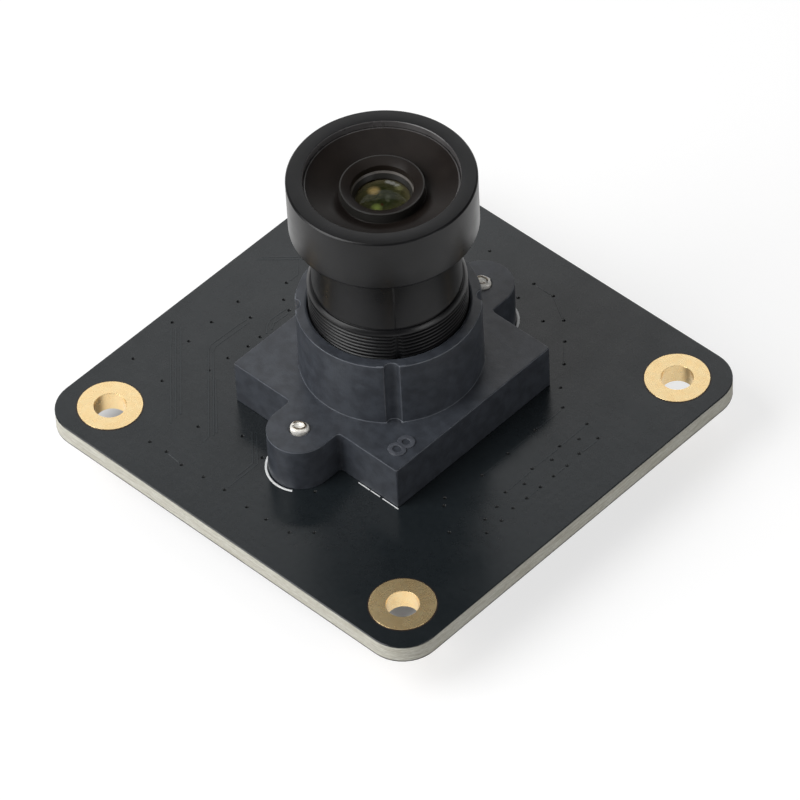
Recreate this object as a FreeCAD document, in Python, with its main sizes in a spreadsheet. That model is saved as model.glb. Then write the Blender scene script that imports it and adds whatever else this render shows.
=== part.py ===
import FreeCAD, Part
import math
import os
import Sketcher

# Board camera module: a square circuit board that carries an image sensor, a moulded lens
# holder with two screw ears, and a threaded wide-angle lens that turns in the holder to focus.
# Millimetres. The origin is the centre of the four corner holes, on the board's underside.
# +Z is the optical axis and points out of the lens. Parts soldered on the back have z below 0.

doc = FreeCAD.newDocument("camera_module")
sheet = doc.addObject("Spreadsheet::Sheet", "Sizes")

DRIVING = (
    # board
    ("board_side", 38.0, "side of the square board"),
    ("board_thickness", 1.6, "laminate with its solder mask"),
    ("board_corner", 3.0, "radius of the board's corners"),
    ("hole_pitch", 30.3, "distance between the corner holes, both ways"),
    ("hole_diameter", 2.5, "finished bore of a corner hole"),
    ("pad_diameter", 5.0, "gold ring round a corner hole"),
    ("pad_thickness", 0.04, "gold ring above the laminate"),
    ("plating_wall", 0.05, "wall of the plated barrel"),
    # lens holder
    ("holder_side", 16.8, "side of the square block"),
    ("holder_block", 4.0, "height of the block above the board"),
    ("holder_edge", 0.15, "radius of the block's upright edges"),
    ("boss_diameter", 14.0, "round neck that takes the lens"),
    ("boss_height", 6.0, "neck above the block"),
    ("flute_radius", 0.62, "grooves down the neck"),
    ("flute_depth", 0.45, "how far a groove cuts into the neck"),
    ("flute_count", 4, "grooves round the neck"),
    ("ear_spacing", 20.0, "distance between the two screws"),
    ("ear_radius", 2.5, "round end of the ear about each screw"),
    ("ear_root", 0.3, "radius where an ear's straight sides meet the block"),
    ("cavity_side", 12.6, "room over the image sensor"),
    ("cavity_corner", 1.0, "radius of that room's corners"),
    ("cavity_height", 2.6, "from the board to the web"),
    ("web_thickness", 0.8, "web under the lens thread"),
    ("window_side", 7.6, "light window through the web"),
    ("lead_in", 0.18, "chamfer at the mouth of the thread"),
    ("thread_clearance", 0.05, "radial gap between lens and holder threads"),
    # holder screws
    ("screw_shank", 1.5, "diameter of the screw"),
    ("screw_head_diameter", 3.2, "pan head"),
    ("screw_head_height", 1.1, "pan head"),
    ("screw_head_edge", 0.35, "rounding of the pan head"),
    ("screw_proud", 0.3, "tip above the ear"),
    ("screw_tip_chamfer", 0.12, "bevel round the flat tip"),
    ("tip_dimple_radius", 0.36, "dimple in the flat tip"),
    ("tip_dimple_depth", 0.18, "dimple in the flat tip"),
    ("screw_clearance", 0.02, "radial gap in the ear"),
    ("board_screw_hole", 2.0, "clearance hole in the board"),
    ("recess_span", 1.9, "cross recess, tip to tip"),
    ("recess_width", 0.5, "cross recess, one arm"),
    ("recess_depth", 0.7, "cross recess"),
    # infrared filter
    ("filter_side", 9.0, "square filter glass"),
    ("filter_thickness", 0.3, "filter glass"),
    ("filter_clearance", 0.1, "gap round the filter in its seat"),
    # image sensor
    ("package_side", 10.0, "ceramic package"),
    ("package_height", 1.1, "ceramic package"),
    ("package_cavity", 7.4, "well for the chip"),
    ("package_floor", 0.5, "ceramic under the chip"),
    ("castellation_width", 0.4, "solder notches"),
    ("castellation_depth", 0.2, "solder notches, into the side"),
    ("castellation_count", 9, "notches on a side"),
    ("castellation_pitch", 0.9, "between notches"),
    ("die_length", 6.2, "sensor chip"),
    ("die_width", 5.0, "sensor chip"),
    ("die_thickness", 0.35, "sensor chip"),
    ("cover_side", 8.6, "sensor cover glass"),
    ("cover_thickness", 0.45, "sensor cover glass"),
    # lens barrel, outside
    ("thread_diameter", 12.0, "nominal lens thread"),
    ("thread_showing", 2.55, "thread between the neck and the smooth barrel"),
    ("thread_length", 7.5, "whole lens thread"),
    ("nose_length", 0.75, "plain end below the thread"),
    ("nose_diameter", 11.0, "plain end below the thread"),
    ("barrel_diameter", 11.2, "smooth barrel above the thread"),
    ("barrel_length", 5.45, "smooth barrel above the thread"),
    ("head_diameter", 14.1, "lens head"),
    ("head_length", 4.8, "lens head"),
    ("head_edge", 0.12, "bevel on the head's outer edges"),
    ("rim_opening", 11.7, "inner edge of the flat front rim"),
    ("rim_bevel", 0.06, "bevel inside the front rim"),
    # lens barrel, inside, depths are from the front rim
    ("ring_seat_depth", 2.6, "shoulder under the front ring"),
    ("front_bore", 9.2, "room for the front element"),
    ("front_seat_depth", 4.45, "shoulder under the front element"),
    ("middle_bore", 7.0, "room for the middle elements"),
    ("middle_seat_depth", 9.6, "shoulder under the third element"),
    ("stop_web", 2.0, "web between middle and rear elements"),
    ("web_bore", 5.2, "light way through that web"),
    ("rear_bore", 8.4, "room for the rear element"),
    ("fit_gap", 0.05, "radial gap round glass and rings"),
    # front ring
    ("front_ring_drop", 0.55, "ring's outer edge below the rim"),
    ("ring_land", 0.12, "flat at the ring's outer edge"),
    ("cone_foot_diameter", 6.3, "where the black cone meets the nose"),
    ("cone_foot_drop", 1.75, "that circle below the rim"),
    ("nose_ring_drop", 0.85, "top of the raised nose below the rim"),
    ("nose_ring_land", 0.12, "flat top of the raised nose"),
    ("ring_step_diameter", 4.64, "edge inside the nose"),
    ("ring_step_drop", 1.16, "that edge below the rim"),
    ("ring_throat_drop", 1.69, "top of the sloped throat below the rim"),
    ("ring_lip_drop", 2.2, "lip over the glass below the rim"),
    ("ring_opening", 4.06, "clear opening over the glass"),
    ("ring_lip_thickness", 0.1, "lip over the glass"),
    ("ring_relief_diameter", 6.2, "foot of the relief under the lip"),
    # glass
    ("front_apex_drop", 2.12, "front of the glass below the rim"),
    ("front_radius", 8.0, "front glass, outer face"),
    ("front_back_radius", 3.2, "front glass, hollow back"),
    ("front_back_opening", 5.4, "front glass, hollow back"),
    ("second_thickness", 1.7, "second element at its edge"),
    ("second_radius", 7.0, "second element, hollow rear face"),
    ("second_opening", 4.8, "second element, hollow rear face"),
    ("stop_opening", 2.2, "aperture stop"),
    ("stop_thickness", 0.15, "aperture stop"),
    ("third_thickness", 1.45, "third element at its edge"),
    ("third_radius", 6.5, "third element, rear face"),
    ("rear_thickness", 2.2, "rear element at its edge"),
    ("rear_radius", 8.5, "rear element, bulging rear face"),
    ("rear_opening", 6.4, "rear element, bulging rear face"),
    ("retainer_length", 1.4, "rear retaining ring"),
    ("retainer_bore", 6.8, "rear retaining ring"),
    ("retainer_slot", 0.8, "spanner slots across the ring"),
    ("retainer_slot_depth", 0.5, "spanner slots"),
    # leads and chips on the back
    ("lead_thickness", 0.15, "gull-wing leads"),
    ("lead_foot", 0.55, "flat foot of a lead"),
    ("lead_slope", 0.12, "how far a lead leans to its chip"),
    ("chip_bevel", 0.12, "edge of a moulded chip"),
    ("chip_standoff", 0.08, "gap under a chip with leads"),
    ("pin_mark_radius", 0.32, "dimple at pin one"),
    ("pin_mark_depth", 0.06, "dimple at pin one"),
    ("part_gap", 0.9, "least gap between parts on the back"),
    ("processor_side", 7.0, "USB camera processor"),
    ("processor_height", 1.4, "USB camera processor"),
    ("processor_span", 9.0, "over its leads"),
    ("processor_pitch", 0.5, "between its leads"),
    ("processor_lead", 0.22, "width of its leads"),
    ("processor_leads_side", 12, "leads on a side"),
    ("processor_shift", 5.5, "its centre left of the axis"),
    ("flash_length", 4.9, "flash memory"),
    ("flash_width", 3.9, "flash memory"),
    ("flash_height", 1.4, "flash memory"),
    ("flash_span", 6.0, "over its leads"),
    ("flash_pitch", 1.27, "between its leads"),
    ("flash_lead", 0.42, "width of its leads"),
    ("flash_leads_side", 4, "leads on a side"),
    ("regulator_length", 2.9, "voltage regulator"),
    ("regulator_width", 1.6, "voltage regulator"),
    ("regulator_height", 1.0, "voltage regulator"),
    ("regulator_span", 3.4, "over its leads"),
    ("regulator_pitch", 0.95, "between its leads"),
    ("regulator_lead", 0.36, "width of its leads"),
    ("regulator_leads_side", 3, "leads on a side"),
    ("regulator_count", 3, "regulators in the column"),
    ("regulator_spacing", 5.4, "between regulators"),
    ("crystal_length", 3.2, "crystal"),
    ("crystal_width", 2.5, "crystal"),
    ("crystal_base", 0.35, "ceramic base of the crystal"),
    ("crystal_lid", 0.4, "metal lid of the crystal"),
    ("crystal_rim", 0.2, "base showing round the lid"),
    ("inductor_side", 4.0, "power inductor"),
    ("inductor_height", 1.8, "power inductor"),
    ("inductor_corner", 0.7, "power inductor"),
    ("inductor_terminal", 0.9, "width of its two terminals"),
    ("terminal_lift", 0.5, "how far a terminal climbs the side"),
    ("terminal_thickness", 0.06, "terminal metal"),
    ("tantalum_length", 3.5, "tantalum capacitor"),
    ("tantalum_width", 2.8, "tantalum capacitor"),
    ("tantalum_height", 1.9, "tantalum capacitor"),
    # chip capacitors and resistors
    ("capacitor_length", 1.6, "ceramic chip capacitor"),
    ("capacitor_width", 0.8, "ceramic chip capacitor"),
    ("capacitor_height", 0.75, "ceramic chip capacitor"),
    ("resistor_length", 1.0, "chip resistor"),
    ("resistor_width", 0.5, "chip resistor"),
    ("resistor_height", 0.35, "chip resistor"),
    ("end_cap", 0.3, "metal end of a chip part"),
    ("end_swell", 0.03, "metal end stands out by this"),
    ("chip_pitch", 1.75, "between capacitors in a row"),
    ("resistor_pitch", 1.2, "between resistors in a row"),
    ("capacitor_count", 5, "capacitors in a row"),
    ("resistor_count", 6, "resistors in a row"),
    # USB header
    ("header_contacts", 4, "contacts"),
    ("header_pitch", 1.5, "between contacts"),
    ("header_end", 1.5, "from the last contact to the housing's end"),
    ("header_depth", 3.5, "housing front to back"),
    ("header_height", 4.3, "housing below the board"),
    ("header_wall", 0.5, "housing wall"),
    ("header_floor", 1.0, "housing floor at the board"),
    ("header_inset", 0.7, "housing to the board's edge"),
    ("latch_width", 1.0, "latch slots in the housing"),
    ("latch_height", 1.6, "latch slots in the housing"),
    ("contact_width", 0.5, "square contact"),
    ("contact_inset", 0.6, "contact tip inside the mouth"),
    ("contact_foot", 0.9, "contact's foot beyond the housing"),
    ("contact_gap", 0.02, "gap round a contact in its hole"),
    ("tab_width", 2.0, "solder tab"),
    ("tab_thickness", 0.3, "solder tab"),
    ("tab_height", 1.6, "solder tab up the housing's end"),
    ("tab_foot", 1.0, "solder tab's foot on the board"),
)


class Size:
    """A size with its value now and the expression that ties it to the sheet."""

    def __init__(self, value, text):
        self.value = value
        self.text = text

    def __add__(self, other):
        other = size(other)
        return Size(self.value + other.value, f"({self.text} + {other.text})")

    def __sub__(self, other):
        other = size(other)
        return Size(self.value - other.value, f"({self.text} - {other.text})")

    def __mul__(self, other):
        other = size(other)
        return Size(self.value * other.value, f"({self.text} * {other.text})")

    def __truediv__(self, other):
        other = size(other)
        return Size(self.value / other.value, f"({self.text} / {other.text})")

    def __neg__(self):
        return Size(-self.value, f"(-1 * {self.text})")

    def root(self):
        return Size(math.sqrt(self.value), f"sqrt({self.text})")


def size(value):
    """A plain number as a Size."""
    if isinstance(value, Size):
        return value
    return Size(value, f"({value})")


class Sizes:
    """The driving dimensions by name, each tied to its cell in the sheet."""


S = Sizes()
for row, (alias, number, meaning) in enumerate(DRIVING, start=1):
    sheet.set(f"A{row}", alias)
    sheet.set(f"B{row}", str(number))
    sheet.set(f"C{row}", meaning)
    sheet.setAlias(f"B{row}", alias)
    setattr(S, alias, Size(number, f"Sizes.{alias}"))
doc.recompute()

ZERO = size(0)
CLOSE = 1e-6  # two places nearer than this are the same

# Heights and places that several parts share.
BOARD_TOP = S.board_thickness
BLOCK_TOP = BOARD_TOP + S.holder_block
BOSS_TOP = BLOCK_TOP + S.boss_height
WEB_LOW = BOARD_TOP + S.cavity_height
WEB_TOP = WEB_LOW + S.web_thickness
SENSOR_TOP = BOARD_TOP + S.package_height
FILTER_SEAT = WEB_LOW + S.filter_thickness
THREAD_R = S.thread_diameter / 2 - S.thread_clearance / 2
HOLDER_BORE_R = S.thread_diameter / 2 + S.thread_clearance / 2
THREAD_END = BOSS_TOP + S.thread_showing
HEAD_LOW = THREAD_END + S.barrel_length
LENS_TOP = HEAD_LOW + S.head_length
NOSE_TOP = THREAD_END - S.thread_length
LENS_LOW = NOSE_TOP - S.nose_length
RING_SEAT = LENS_TOP - S.ring_seat_depth
FRONT_SEAT = LENS_TOP - S.front_seat_depth
MIDDLE_SEAT = LENS_TOP - S.middle_seat_depth
REAR_SEAT = MIDDLE_SEAT - S.stop_web

parts = []


def bind(item, path, value):
    """Ties one property of a document object to the sheet."""
    item.setExpression(path, size(value).text)


def keep(item, label):
    """Names a finished sub-part, which is then written out."""
    item.Label = label
    parts.append(item)
    return item


def place(item, x, y, z=ZERO, turn=0):
    """Sets where an object stands, turned about +Z by a fixed angle in degrees."""
    spot = FreeCAD.Vector(size(x).value, size(y).value, size(z).value)
    item.Placement = FreeCAD.Placement(spot, FreeCAD.Rotation(FreeCAD.Vector(0, 0, 1), turn))
    bind(item, "Placement.Base.x", x)
    bind(item, "Placement.Base.y", y)
    bind(item, "Placement.Base.z", z)
    return item


def origin_part(body, role):
    """A plane or axis of the body's own origin."""
    for feature in body.Origin.OriginFeatures:
        if feature.Role == role:
            return feature
    raise RuntimeError(f"no {role} in {body.Name}")


def new_body(name):
    return doc.addObject("PartDesign::Body", name)


def new_sketch(body, name, plane="XY_Plane", offset=ZERO):
    """An empty sketch on a plane of the body's origin, moved along the plane's normal."""
    sketch = body.newObject("Sketcher::SketchObject", f"{body.Name}_{name}")
    sketch.AttachmentSupport = [(origin_part(body, plane), "")]
    sketch.MapMode = "FlatFace"
    bind(sketch, "AttachmentOffset.Base.z", offset)
    return sketch


def hold(sketch, geometry, point, x, y):
    """Holds one sketch point at x, y from the sketch's origin."""
    for kind, value in (("DistanceX", size(x)), ("DistanceY", size(y))):
        index = sketch.addConstraint(Sketcher.Constraint(kind, -1, 1, geometry, point, value.value))
        sketch.setExpression(f"Constraints[{index}]", value.text)


def draw_polygon(sketch, points):
    """A closed outline through the points."""
    corners = [FreeCAD.Vector(size(x).value, size(y).value, 0) for x, y in points]
    count = len(corners)
    first = sketch.GeometryCount
    for i in range(count):
        sketch.addGeometry(Part.LineSegment(corners[i], corners[(i + 1) % count]), False)
    for i in range(count):
        following = first + (i + 1) % count
        sketch.addConstraint(Sketcher.Constraint("Coincident", first + i, 2, following, 1))
    for i, (x, y) in enumerate(points):
        hold(sketch, first + i, 1, x, y)


def draw_box(sketch, x, y, length, width):
    """A rectangle about the point x, y."""
    left = size(x) - length / 2
    right = size(x) + length / 2
    low = size(y) - width / 2
    high = size(y) + width / 2
    draw_polygon(sketch, ((left, low), (right, low), (right, high), (left, high)))


def draw_circle(sketch, x, y, radius):
    centre = FreeCAD.Vector(size(x).value, size(y).value, 0)
    index = sketch.addGeometry(Part.Circle(centre, FreeCAD.Vector(0, 0, 1), radius.value), False)
    held = sketch.addConstraint(Sketcher.Constraint("Radius", index, radius.value))
    sketch.setExpression(f"Constraints[{held}]", radius.text)
    hold(sketch, index, 3, x, y)


def pad(body, sketch, length, down=False, both=False):
    """Raises a sketch along its normal, against it, or half each way."""
    feature = body.newObject("PartDesign::Pad", f"{sketch.Name}_pad")
    feature.Profile = sketch
    bind(feature, "Length", length)
    feature.Reversed = down
    feature.Midplane = both
    doc.recompute()
    return feature


def pocket(body, sketch, depth, up=False, both=False):
    """Cuts a sketch against its normal, along it, or half each way, and makes sure that it cut."""
    before = body.Shape.Volume
    feature = body.newObject("PartDesign::Pocket", f"{sketch.Name}_pocket")
    feature.Profile = sketch
    bind(feature, "Length", depth)
    feature.Reversed = up
    feature.Midplane = both
    doc.recompute()
    if not body.Shape.Volume < before:
        raise RuntimeError(f"{feature.Name} cut nothing")
    return feature


def turned(body, name, points):
    """A full revolution about Z of an outline given as (radius, height) points."""
    sketch = new_sketch(body, name, "XZ_Plane")
    draw_polygon(sketch, points)
    feature = body.newObject("PartDesign::Revolution", f"{sketch.Name}_turn")
    feature.Profile = sketch
    feature.ReferenceAxis = (sketch, ["V_Axis"])
    feature.Angle = 360
    doc.recompute()
    return feature


def line_pattern(body, axis, count, pitch, backwards=False):
    """One step of a pattern: copies in a row."""
    pattern = doc.addObject("PartDesign::LinearPattern", f"{body.Name}_row")
    pattern.Direction = (origin_part(body, axis), [""])
    bind(pattern, "Length", pitch * (count - 1))
    bind(pattern, "Occurrences", count)
    pattern.Reversed = backwards
    return pattern


def round_pattern(body, count):
    """One step of a pattern: copies turned about the body's own Z axis."""
    pattern = doc.addObject("PartDesign::PolarPattern", f"{body.Name}_round")
    pattern.Axis = (origin_part(body, "Z_Axis"), [""])
    pattern.Angle = 360
    bind(pattern, "Occurrences", count)
    return pattern


def repeat(body, features, steps):
    """Repeats features through the pattern steps, one after the other."""
    pattern = body.newObject("PartDesign::MultiTransform", f"{body.Name}_pattern")
    pattern.Originals = features
    pattern.Transformations = steps
    body.Tip = pattern
    doc.recompute()
    return pattern


def edges_where(shape, wanted):
    """Names of the straight edges whose two ends both meet a rule."""
    names = []
    for i, edge in enumerate(shape.Edges, start=1):
        if len(edge.Vertexes) == 2 and wanted(edge.Vertexes[0].Point, edge.Vertexes[1].Point):
            names.append(f"Edge{i}")
    return names


def dress(body, kind, names, value):
    """A fillet or chamfer on named edges of the body so far."""
    if not names:
        raise RuntimeError(f"no edges for a {kind} on {body.Name}")
    base = body.Tip
    feature = body.newObject(f"PartDesign::{kind}", f"{body.Name}_{kind}")
    feature.Base = (base, names)
    bind(feature, "Radius" if kind == "Fillet" else "Size", value)
    doc.recompute()
    return feature


def upright(a, b):
    """True for an edge that runs along Z."""
    return abs(a.x - b.x) < CLOSE and abs(a.y - b.y) < CLOSE


def mirrored(item, normal):
    """The item and its mirror image, as one group of separate solids."""
    image = doc.addObject("Part::Mirroring", f"{item.Name}_mirrored")
    image.Source = item
    image.Normal = normal
    return group(f"{item.Name}_pair", (item, image))


def group(name, items):
    together = doc.addObject("Part::Compound", name)
    together.Links = list(items)
    doc.recompute()
    return together


def cylinder(name, radius, low, high):
    """A round blank on the optical axis."""
    item = doc.addObject("Part::Cylinder", name)
    bind(item, "Radius", radius)
    bind(item, "Height", high - low)
    place(item, ZERO, ZERO, low)
    return item


def block(name, length, width, low, high):
    """A rectangular piece centred on the optical axis."""
    item = doc.addObject("Part::Box", name)
    bind(item, "Length", length)
    bind(item, "Width", width)
    bind(item, "Height", high - low)
    place(item, -(length / 2), -(width / 2), low)
    return item


def ball(name, radius, height):
    """A sphere centred on the optical axis, for a lens face."""
    item = doc.addObject("Part::Sphere", name)
    bind(item, "Radius", radius)
    place(item, ZERO, ZERO, height)
    return item


def combine(kind, name, base, tool):
    """Part::Cut, Part::Fuse or Part::Common of two solids."""
    item = doc.addObject(kind, name)
    item.Base = base
    item.Tool = tool
    doc.recompute()
    return item


def hollow_face(glass, name, height, opening, radius):
    """Grinds a hollow rear face into glass: opening is the width of the hollow at that height."""
    reach = (radius * radius - opening * opening / 4).root()
    return combine("Part::Cut", name, glass, ball(f"{name}_ball", radius, height - reach))


def bulged_face(glass, name, height, opening, radius):
    """Adds a bulging rear face to glass: opening is the width of the bulge at that height."""
    reach = (radius * radius - opening * opening / 4).root()
    rise = radius - reach
    column = cylinder(f"{name}_column", opening / 2, height - rise, height + rise)
    cap = combine("Part::Common", f"{name}_cap", column, ball(f"{name}_ball", radius, height + reach))
    return combine("Part::Fuse", name, glass, cap)


def make_board():
    """Square laminate with round corners, corner holes and two screw holes."""
    body = new_body("board_body")
    sketch = new_sketch(body, "outline")
    draw_box(sketch, ZERO, ZERO, S.board_side, S.board_side)
    pad(body, sketch, S.board_thickness)
    dress(body, "Fillet", edges_where(body.Shape, upright), S.board_corner)
    holes = new_sketch(body, "corner_hole", offset=BOARD_TOP)
    reach = S.hole_pitch / 2
    draw_circle(holes, reach, reach, S.hole_diameter / 2 + S.plating_wall)
    first = pocket(body, holes, S.board_thickness)
    repeat(body, [first], [round_pattern(body, size(4))])
    screws = new_sketch(body, "screw_holes", offset=BOARD_TOP)
    for side in (-1, 1):
        draw_circle(screws, ZERO, S.ear_spacing / 2 * side, S.board_screw_hole / 2)
    pocket(body, screws, S.board_thickness)
    keep(body, "circuit_board")


def make_hole_platings():
    """Gold-plated barrel with a ring on each face, in each corner hole."""
    body = new_body("plating_body")
    bore = S.hole_diameter / 2
    wall = bore + S.plating_wall
    ring = S.pad_diameter / 2
    low = -S.pad_thickness
    high = BOARD_TOP + S.pad_thickness
    outline = (
        (bore, low),
        (ring, low),
        (ring, ZERO),
        (wall, ZERO),
        (wall, BOARD_TOP),
        (ring, BOARD_TOP),
        (ring, high),
        (bore, high),
    )
    turned(body, "section", outline)
    place(body, S.hole_pitch / 2, S.hole_pitch / 2)
    side = mirrored(body, (1, 0, 0))
    keep(mirrored(side, (0, 1, 0)), "hole_platings")


def make_lens_holder():
    """One moulding: block, two screw ears, fluted neck, web with a filter seat."""
    body = new_body("holder_body")
    sketch = new_sketch(body, "block", offset=BOARD_TOP)
    draw_box(sketch, ZERO, ZERO, S.holder_side, S.holder_side)
    pad(body, sketch, S.holder_block)
    dress(body, "Fillet", edges_where(body.Shape, upright), S.holder_edge)
    ears = new_sketch(body, "ears", offset=BOARD_TOP)
    for side in (-1, 1):
        draw_circle(ears, ZERO, S.ear_spacing / 2 * side, S.ear_radius)
    pad(body, ears, S.holder_block)
    sides = new_sketch(body, "ear_sides", offset=BOARD_TOP)
    draw_box(sides, ZERO, ZERO, S.ear_radius * 2, S.ear_spacing)
    pad(body, sides, S.holder_block)
    across = S.ear_radius.value
    face = S.holder_side.value / 2
    roots = edges_where(
        body.Shape,
        lambda a, b: upright(a, b) and abs(abs(a.x) - across) < CLOSE and abs(abs(a.y) - face) < CLOSE,
    )
    dress(body, "Fillet", roots, S.ear_root)
    neck = new_sketch(body, "neck", offset=BLOCK_TOP)
    draw_circle(neck, ZERO, ZERO, S.boss_diameter / 2)
    pad(body, neck, S.boss_height)
    flute = new_sketch(body, "flute", offset=BOSS_TOP)
    reach = (S.boss_diameter / 2 - S.flute_depth + S.flute_radius) * math.sqrt(0.5)
    draw_circle(flute, reach, reach, S.flute_radius)
    first = pocket(body, flute, S.boss_height)
    repeat(body, [first], [round_pattern(body, S.flute_count)])

    cavity = new_sketch(body, "cavity", offset=BOARD_TOP)
    draw_box(cavity, ZERO, ZERO, S.cavity_side, S.cavity_side)
    pocket(body, cavity, S.cavity_height, up=True)
    half = S.cavity_side.value / 2
    inner = edges_where(
        body.Shape,
        lambda a, b: upright(a, b) and abs(abs(a.x) - half) < CLOSE and abs(abs(a.y) - half) < CLOSE,
    )
    dress(body, "Fillet", inner, S.cavity_corner)
    seat = new_sketch(body, "filter_seat", offset=WEB_LOW)
    seat_side = S.filter_side + S.filter_clearance * 2
    draw_box(seat, ZERO, ZERO, seat_side, seat_side)
    pocket(body, seat, S.filter_thickness, up=True)
    window = new_sketch(body, "window", offset=FILTER_SEAT)
    draw_box(window, ZERO, ZERO, S.window_side, S.window_side)
    pocket(body, window, S.web_thickness - S.filter_thickness, up=True)

    bore = new_sketch(body, "thread_bore", "XZ_Plane")
    outer = HOLDER_BORE_R + S.lead_in
    draw_polygon(
        bore,
        (
            (ZERO, WEB_TOP),
            (HOLDER_BORE_R, WEB_TOP),
            (HOLDER_BORE_R, BOSS_TOP - S.lead_in),
            (outer, BOSS_TOP),
            (ZERO, BOSS_TOP),
        ),
    )
    before = body.Shape.Volume
    groove = body.newObject("PartDesign::Groove", "holder_bore")
    groove.Profile = bore
    groove.ReferenceAxis = (bore, ["V_Axis"])
    groove.Angle = 360
    doc.recompute()
    if not body.Shape.Volume < before:
        raise RuntimeError("the lens bore cut nothing")

    pilots = new_sketch(body, "pilots", offset=BLOCK_TOP)
    for side in (-1, 1):
        draw_circle(pilots, ZERO, S.ear_spacing / 2 * side, S.screw_shank / 2 + S.screw_clearance)
    pocket(body, pilots, S.holder_block)
    keep(body, "lens_holder")


def make_holder_screws():
    """Pan-head screws from the back of the board, their flat tips just above the ears."""
    body = new_body("screw_body")
    shank = S.screw_shank / 2
    head = S.screw_head_diameter / 2
    low = -S.screw_head_height
    tip = BLOCK_TOP + S.screw_proud
    outline = (
        (ZERO, low),
        (head - S.screw_head_edge, low),
        (head, low + S.screw_head_edge),
        (head, ZERO),
        (shank, ZERO),
        (shank, tip - S.screw_tip_chamfer),
        (shank - S.screw_tip_chamfer, tip),
        (S.tip_dimple_radius, tip),
        (ZERO, tip - S.tip_dimple_depth),
    )
    turned(body, "section", outline)
    cross = new_sketch(body, "recess", offset=low)
    long = S.recess_span / 2
    thin = S.recess_width / 2
    arms = (
        (long, -thin),
        (long, thin),
        (thin, thin),
        (thin, long),
        (-thin, long),
        (-thin, thin),
        (-long, thin),
        (-long, -thin),
        (-thin, -thin),
        (-thin, -long),
        (thin, -long),
        (thin, -thin),
    )
    draw_polygon(cross, arms)
    pocket(body, cross, S.recess_depth, up=True)
    place(body, ZERO, S.ear_spacing / 2)
    keep(mirrored(body, (0, 1, 0)), "holder_screws")


def make_filter_and_sensor():
    """Infrared filter under the web, and the sensor package, chip and cover glass."""
    filter_glass = block("filter_box", S.filter_side, S.filter_side, WEB_LOW, FILTER_SEAT)
    keep(filter_glass, "ir_cut_filter")

    body = new_body("package_body")
    sketch = new_sketch(body, "outline", offset=BOARD_TOP)
    draw_box(sketch, ZERO, ZERO, S.package_side, S.package_side)
    pad(body, sketch, S.package_height)
    notch = new_sketch(body, "notch", offset=SENSOR_TOP)
    start = -(S.castellation_pitch * (S.castellation_count - 1) / 2)
    draw_box(notch, start, S.package_side / 2, S.castellation_width, S.castellation_depth * 2)
    first = pocket(body, notch, S.package_height)
    row = line_pattern(body, "X_Axis", S.castellation_count, S.castellation_pitch)
    repeat(body, [first], [row, round_pattern(body, size(4))])
    well = new_sketch(body, "well", offset=SENSOR_TOP)
    draw_box(well, ZERO, ZERO, S.package_cavity, S.package_cavity)
    pocket(body, well, S.package_height - S.package_floor)
    keep(body, "sensor_package")

    floor = BOARD_TOP + S.package_floor
    keep(block("die_box", S.die_length, S.die_width, floor, floor + S.die_thickness), "sensor_die")
    cover = block("cover_box", S.cover_side, S.cover_side, SENSOR_TOP, SENSOR_TOP + S.cover_thickness)
    keep(cover, "sensor_cover_glass")


def make_lens_barrel():
    """Turned barrel: head, smooth neck, thread stretch and stepped inside."""
    body = new_body("barrel_body")
    head = S.head_diameter / 2
    smooth = S.barrel_diameter / 2
    nose = S.nose_diameter / 2
    rim = S.rim_opening / 2
    outline = (
        (S.rear_bore / 2, LENS_LOW),
        (nose, LENS_LOW),
        (nose, NOSE_TOP),
        (THREAD_R, NOSE_TOP),
        (THREAD_R, THREAD_END),
        (smooth, THREAD_END),
        (smooth, HEAD_LOW),
        (head - S.head_edge, HEAD_LOW),
        (head, HEAD_LOW + S.head_edge),
        (head, LENS_TOP - S.head_edge),
        (head - S.head_edge, LENS_TOP),
        (rim, LENS_TOP),
        (rim - S.rim_bevel, LENS_TOP - S.rim_bevel),
        (rim - S.rim_bevel, RING_SEAT),
        (S.front_bore / 2, RING_SEAT),
        (S.front_bore / 2, FRONT_SEAT),
        (S.middle_bore / 2, FRONT_SEAT),
        (S.middle_bore / 2, MIDDLE_SEAT),
        (S.web_bore / 2, MIDDLE_SEAT),
        (S.web_bore / 2, REAR_SEAT),
        (S.rear_bore / 2, REAR_SEAT),
    )
    turned(body, "section", outline)
    keep(body, "lens_barrel")


def make_front_ring():
    """Black ring that holds the front glass: shallow cone, raised nose and lip."""
    body = new_body("front_ring_body")
    outer = S.rim_opening / 2 - S.rim_bevel - S.fit_gap
    foot = S.cone_foot_diameter / 2
    nose_top = LENS_TOP - S.nose_ring_drop
    step = S.ring_step_diameter / 2
    lip = LENS_TOP - S.ring_lip_drop
    outline = (
        (outer, RING_SEAT),
        (outer, LENS_TOP - S.front_ring_drop),
        (outer - S.ring_land, LENS_TOP - S.front_ring_drop),
        (foot, LENS_TOP - S.cone_foot_drop),
        (foot, nose_top),
        (foot - S.nose_ring_land, nose_top),
        (step, LENS_TOP - S.ring_step_drop),
        (step, LENS_TOP - S.ring_throat_drop),
        (S.ring_opening / 2, lip),
        (S.ring_opening / 2, lip - S.ring_lip_thickness),
        (S.ring_relief_diameter / 2, RING_SEAT),
    )
    turned(body, "section", outline)
    keep(body, "front_ring")


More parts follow.
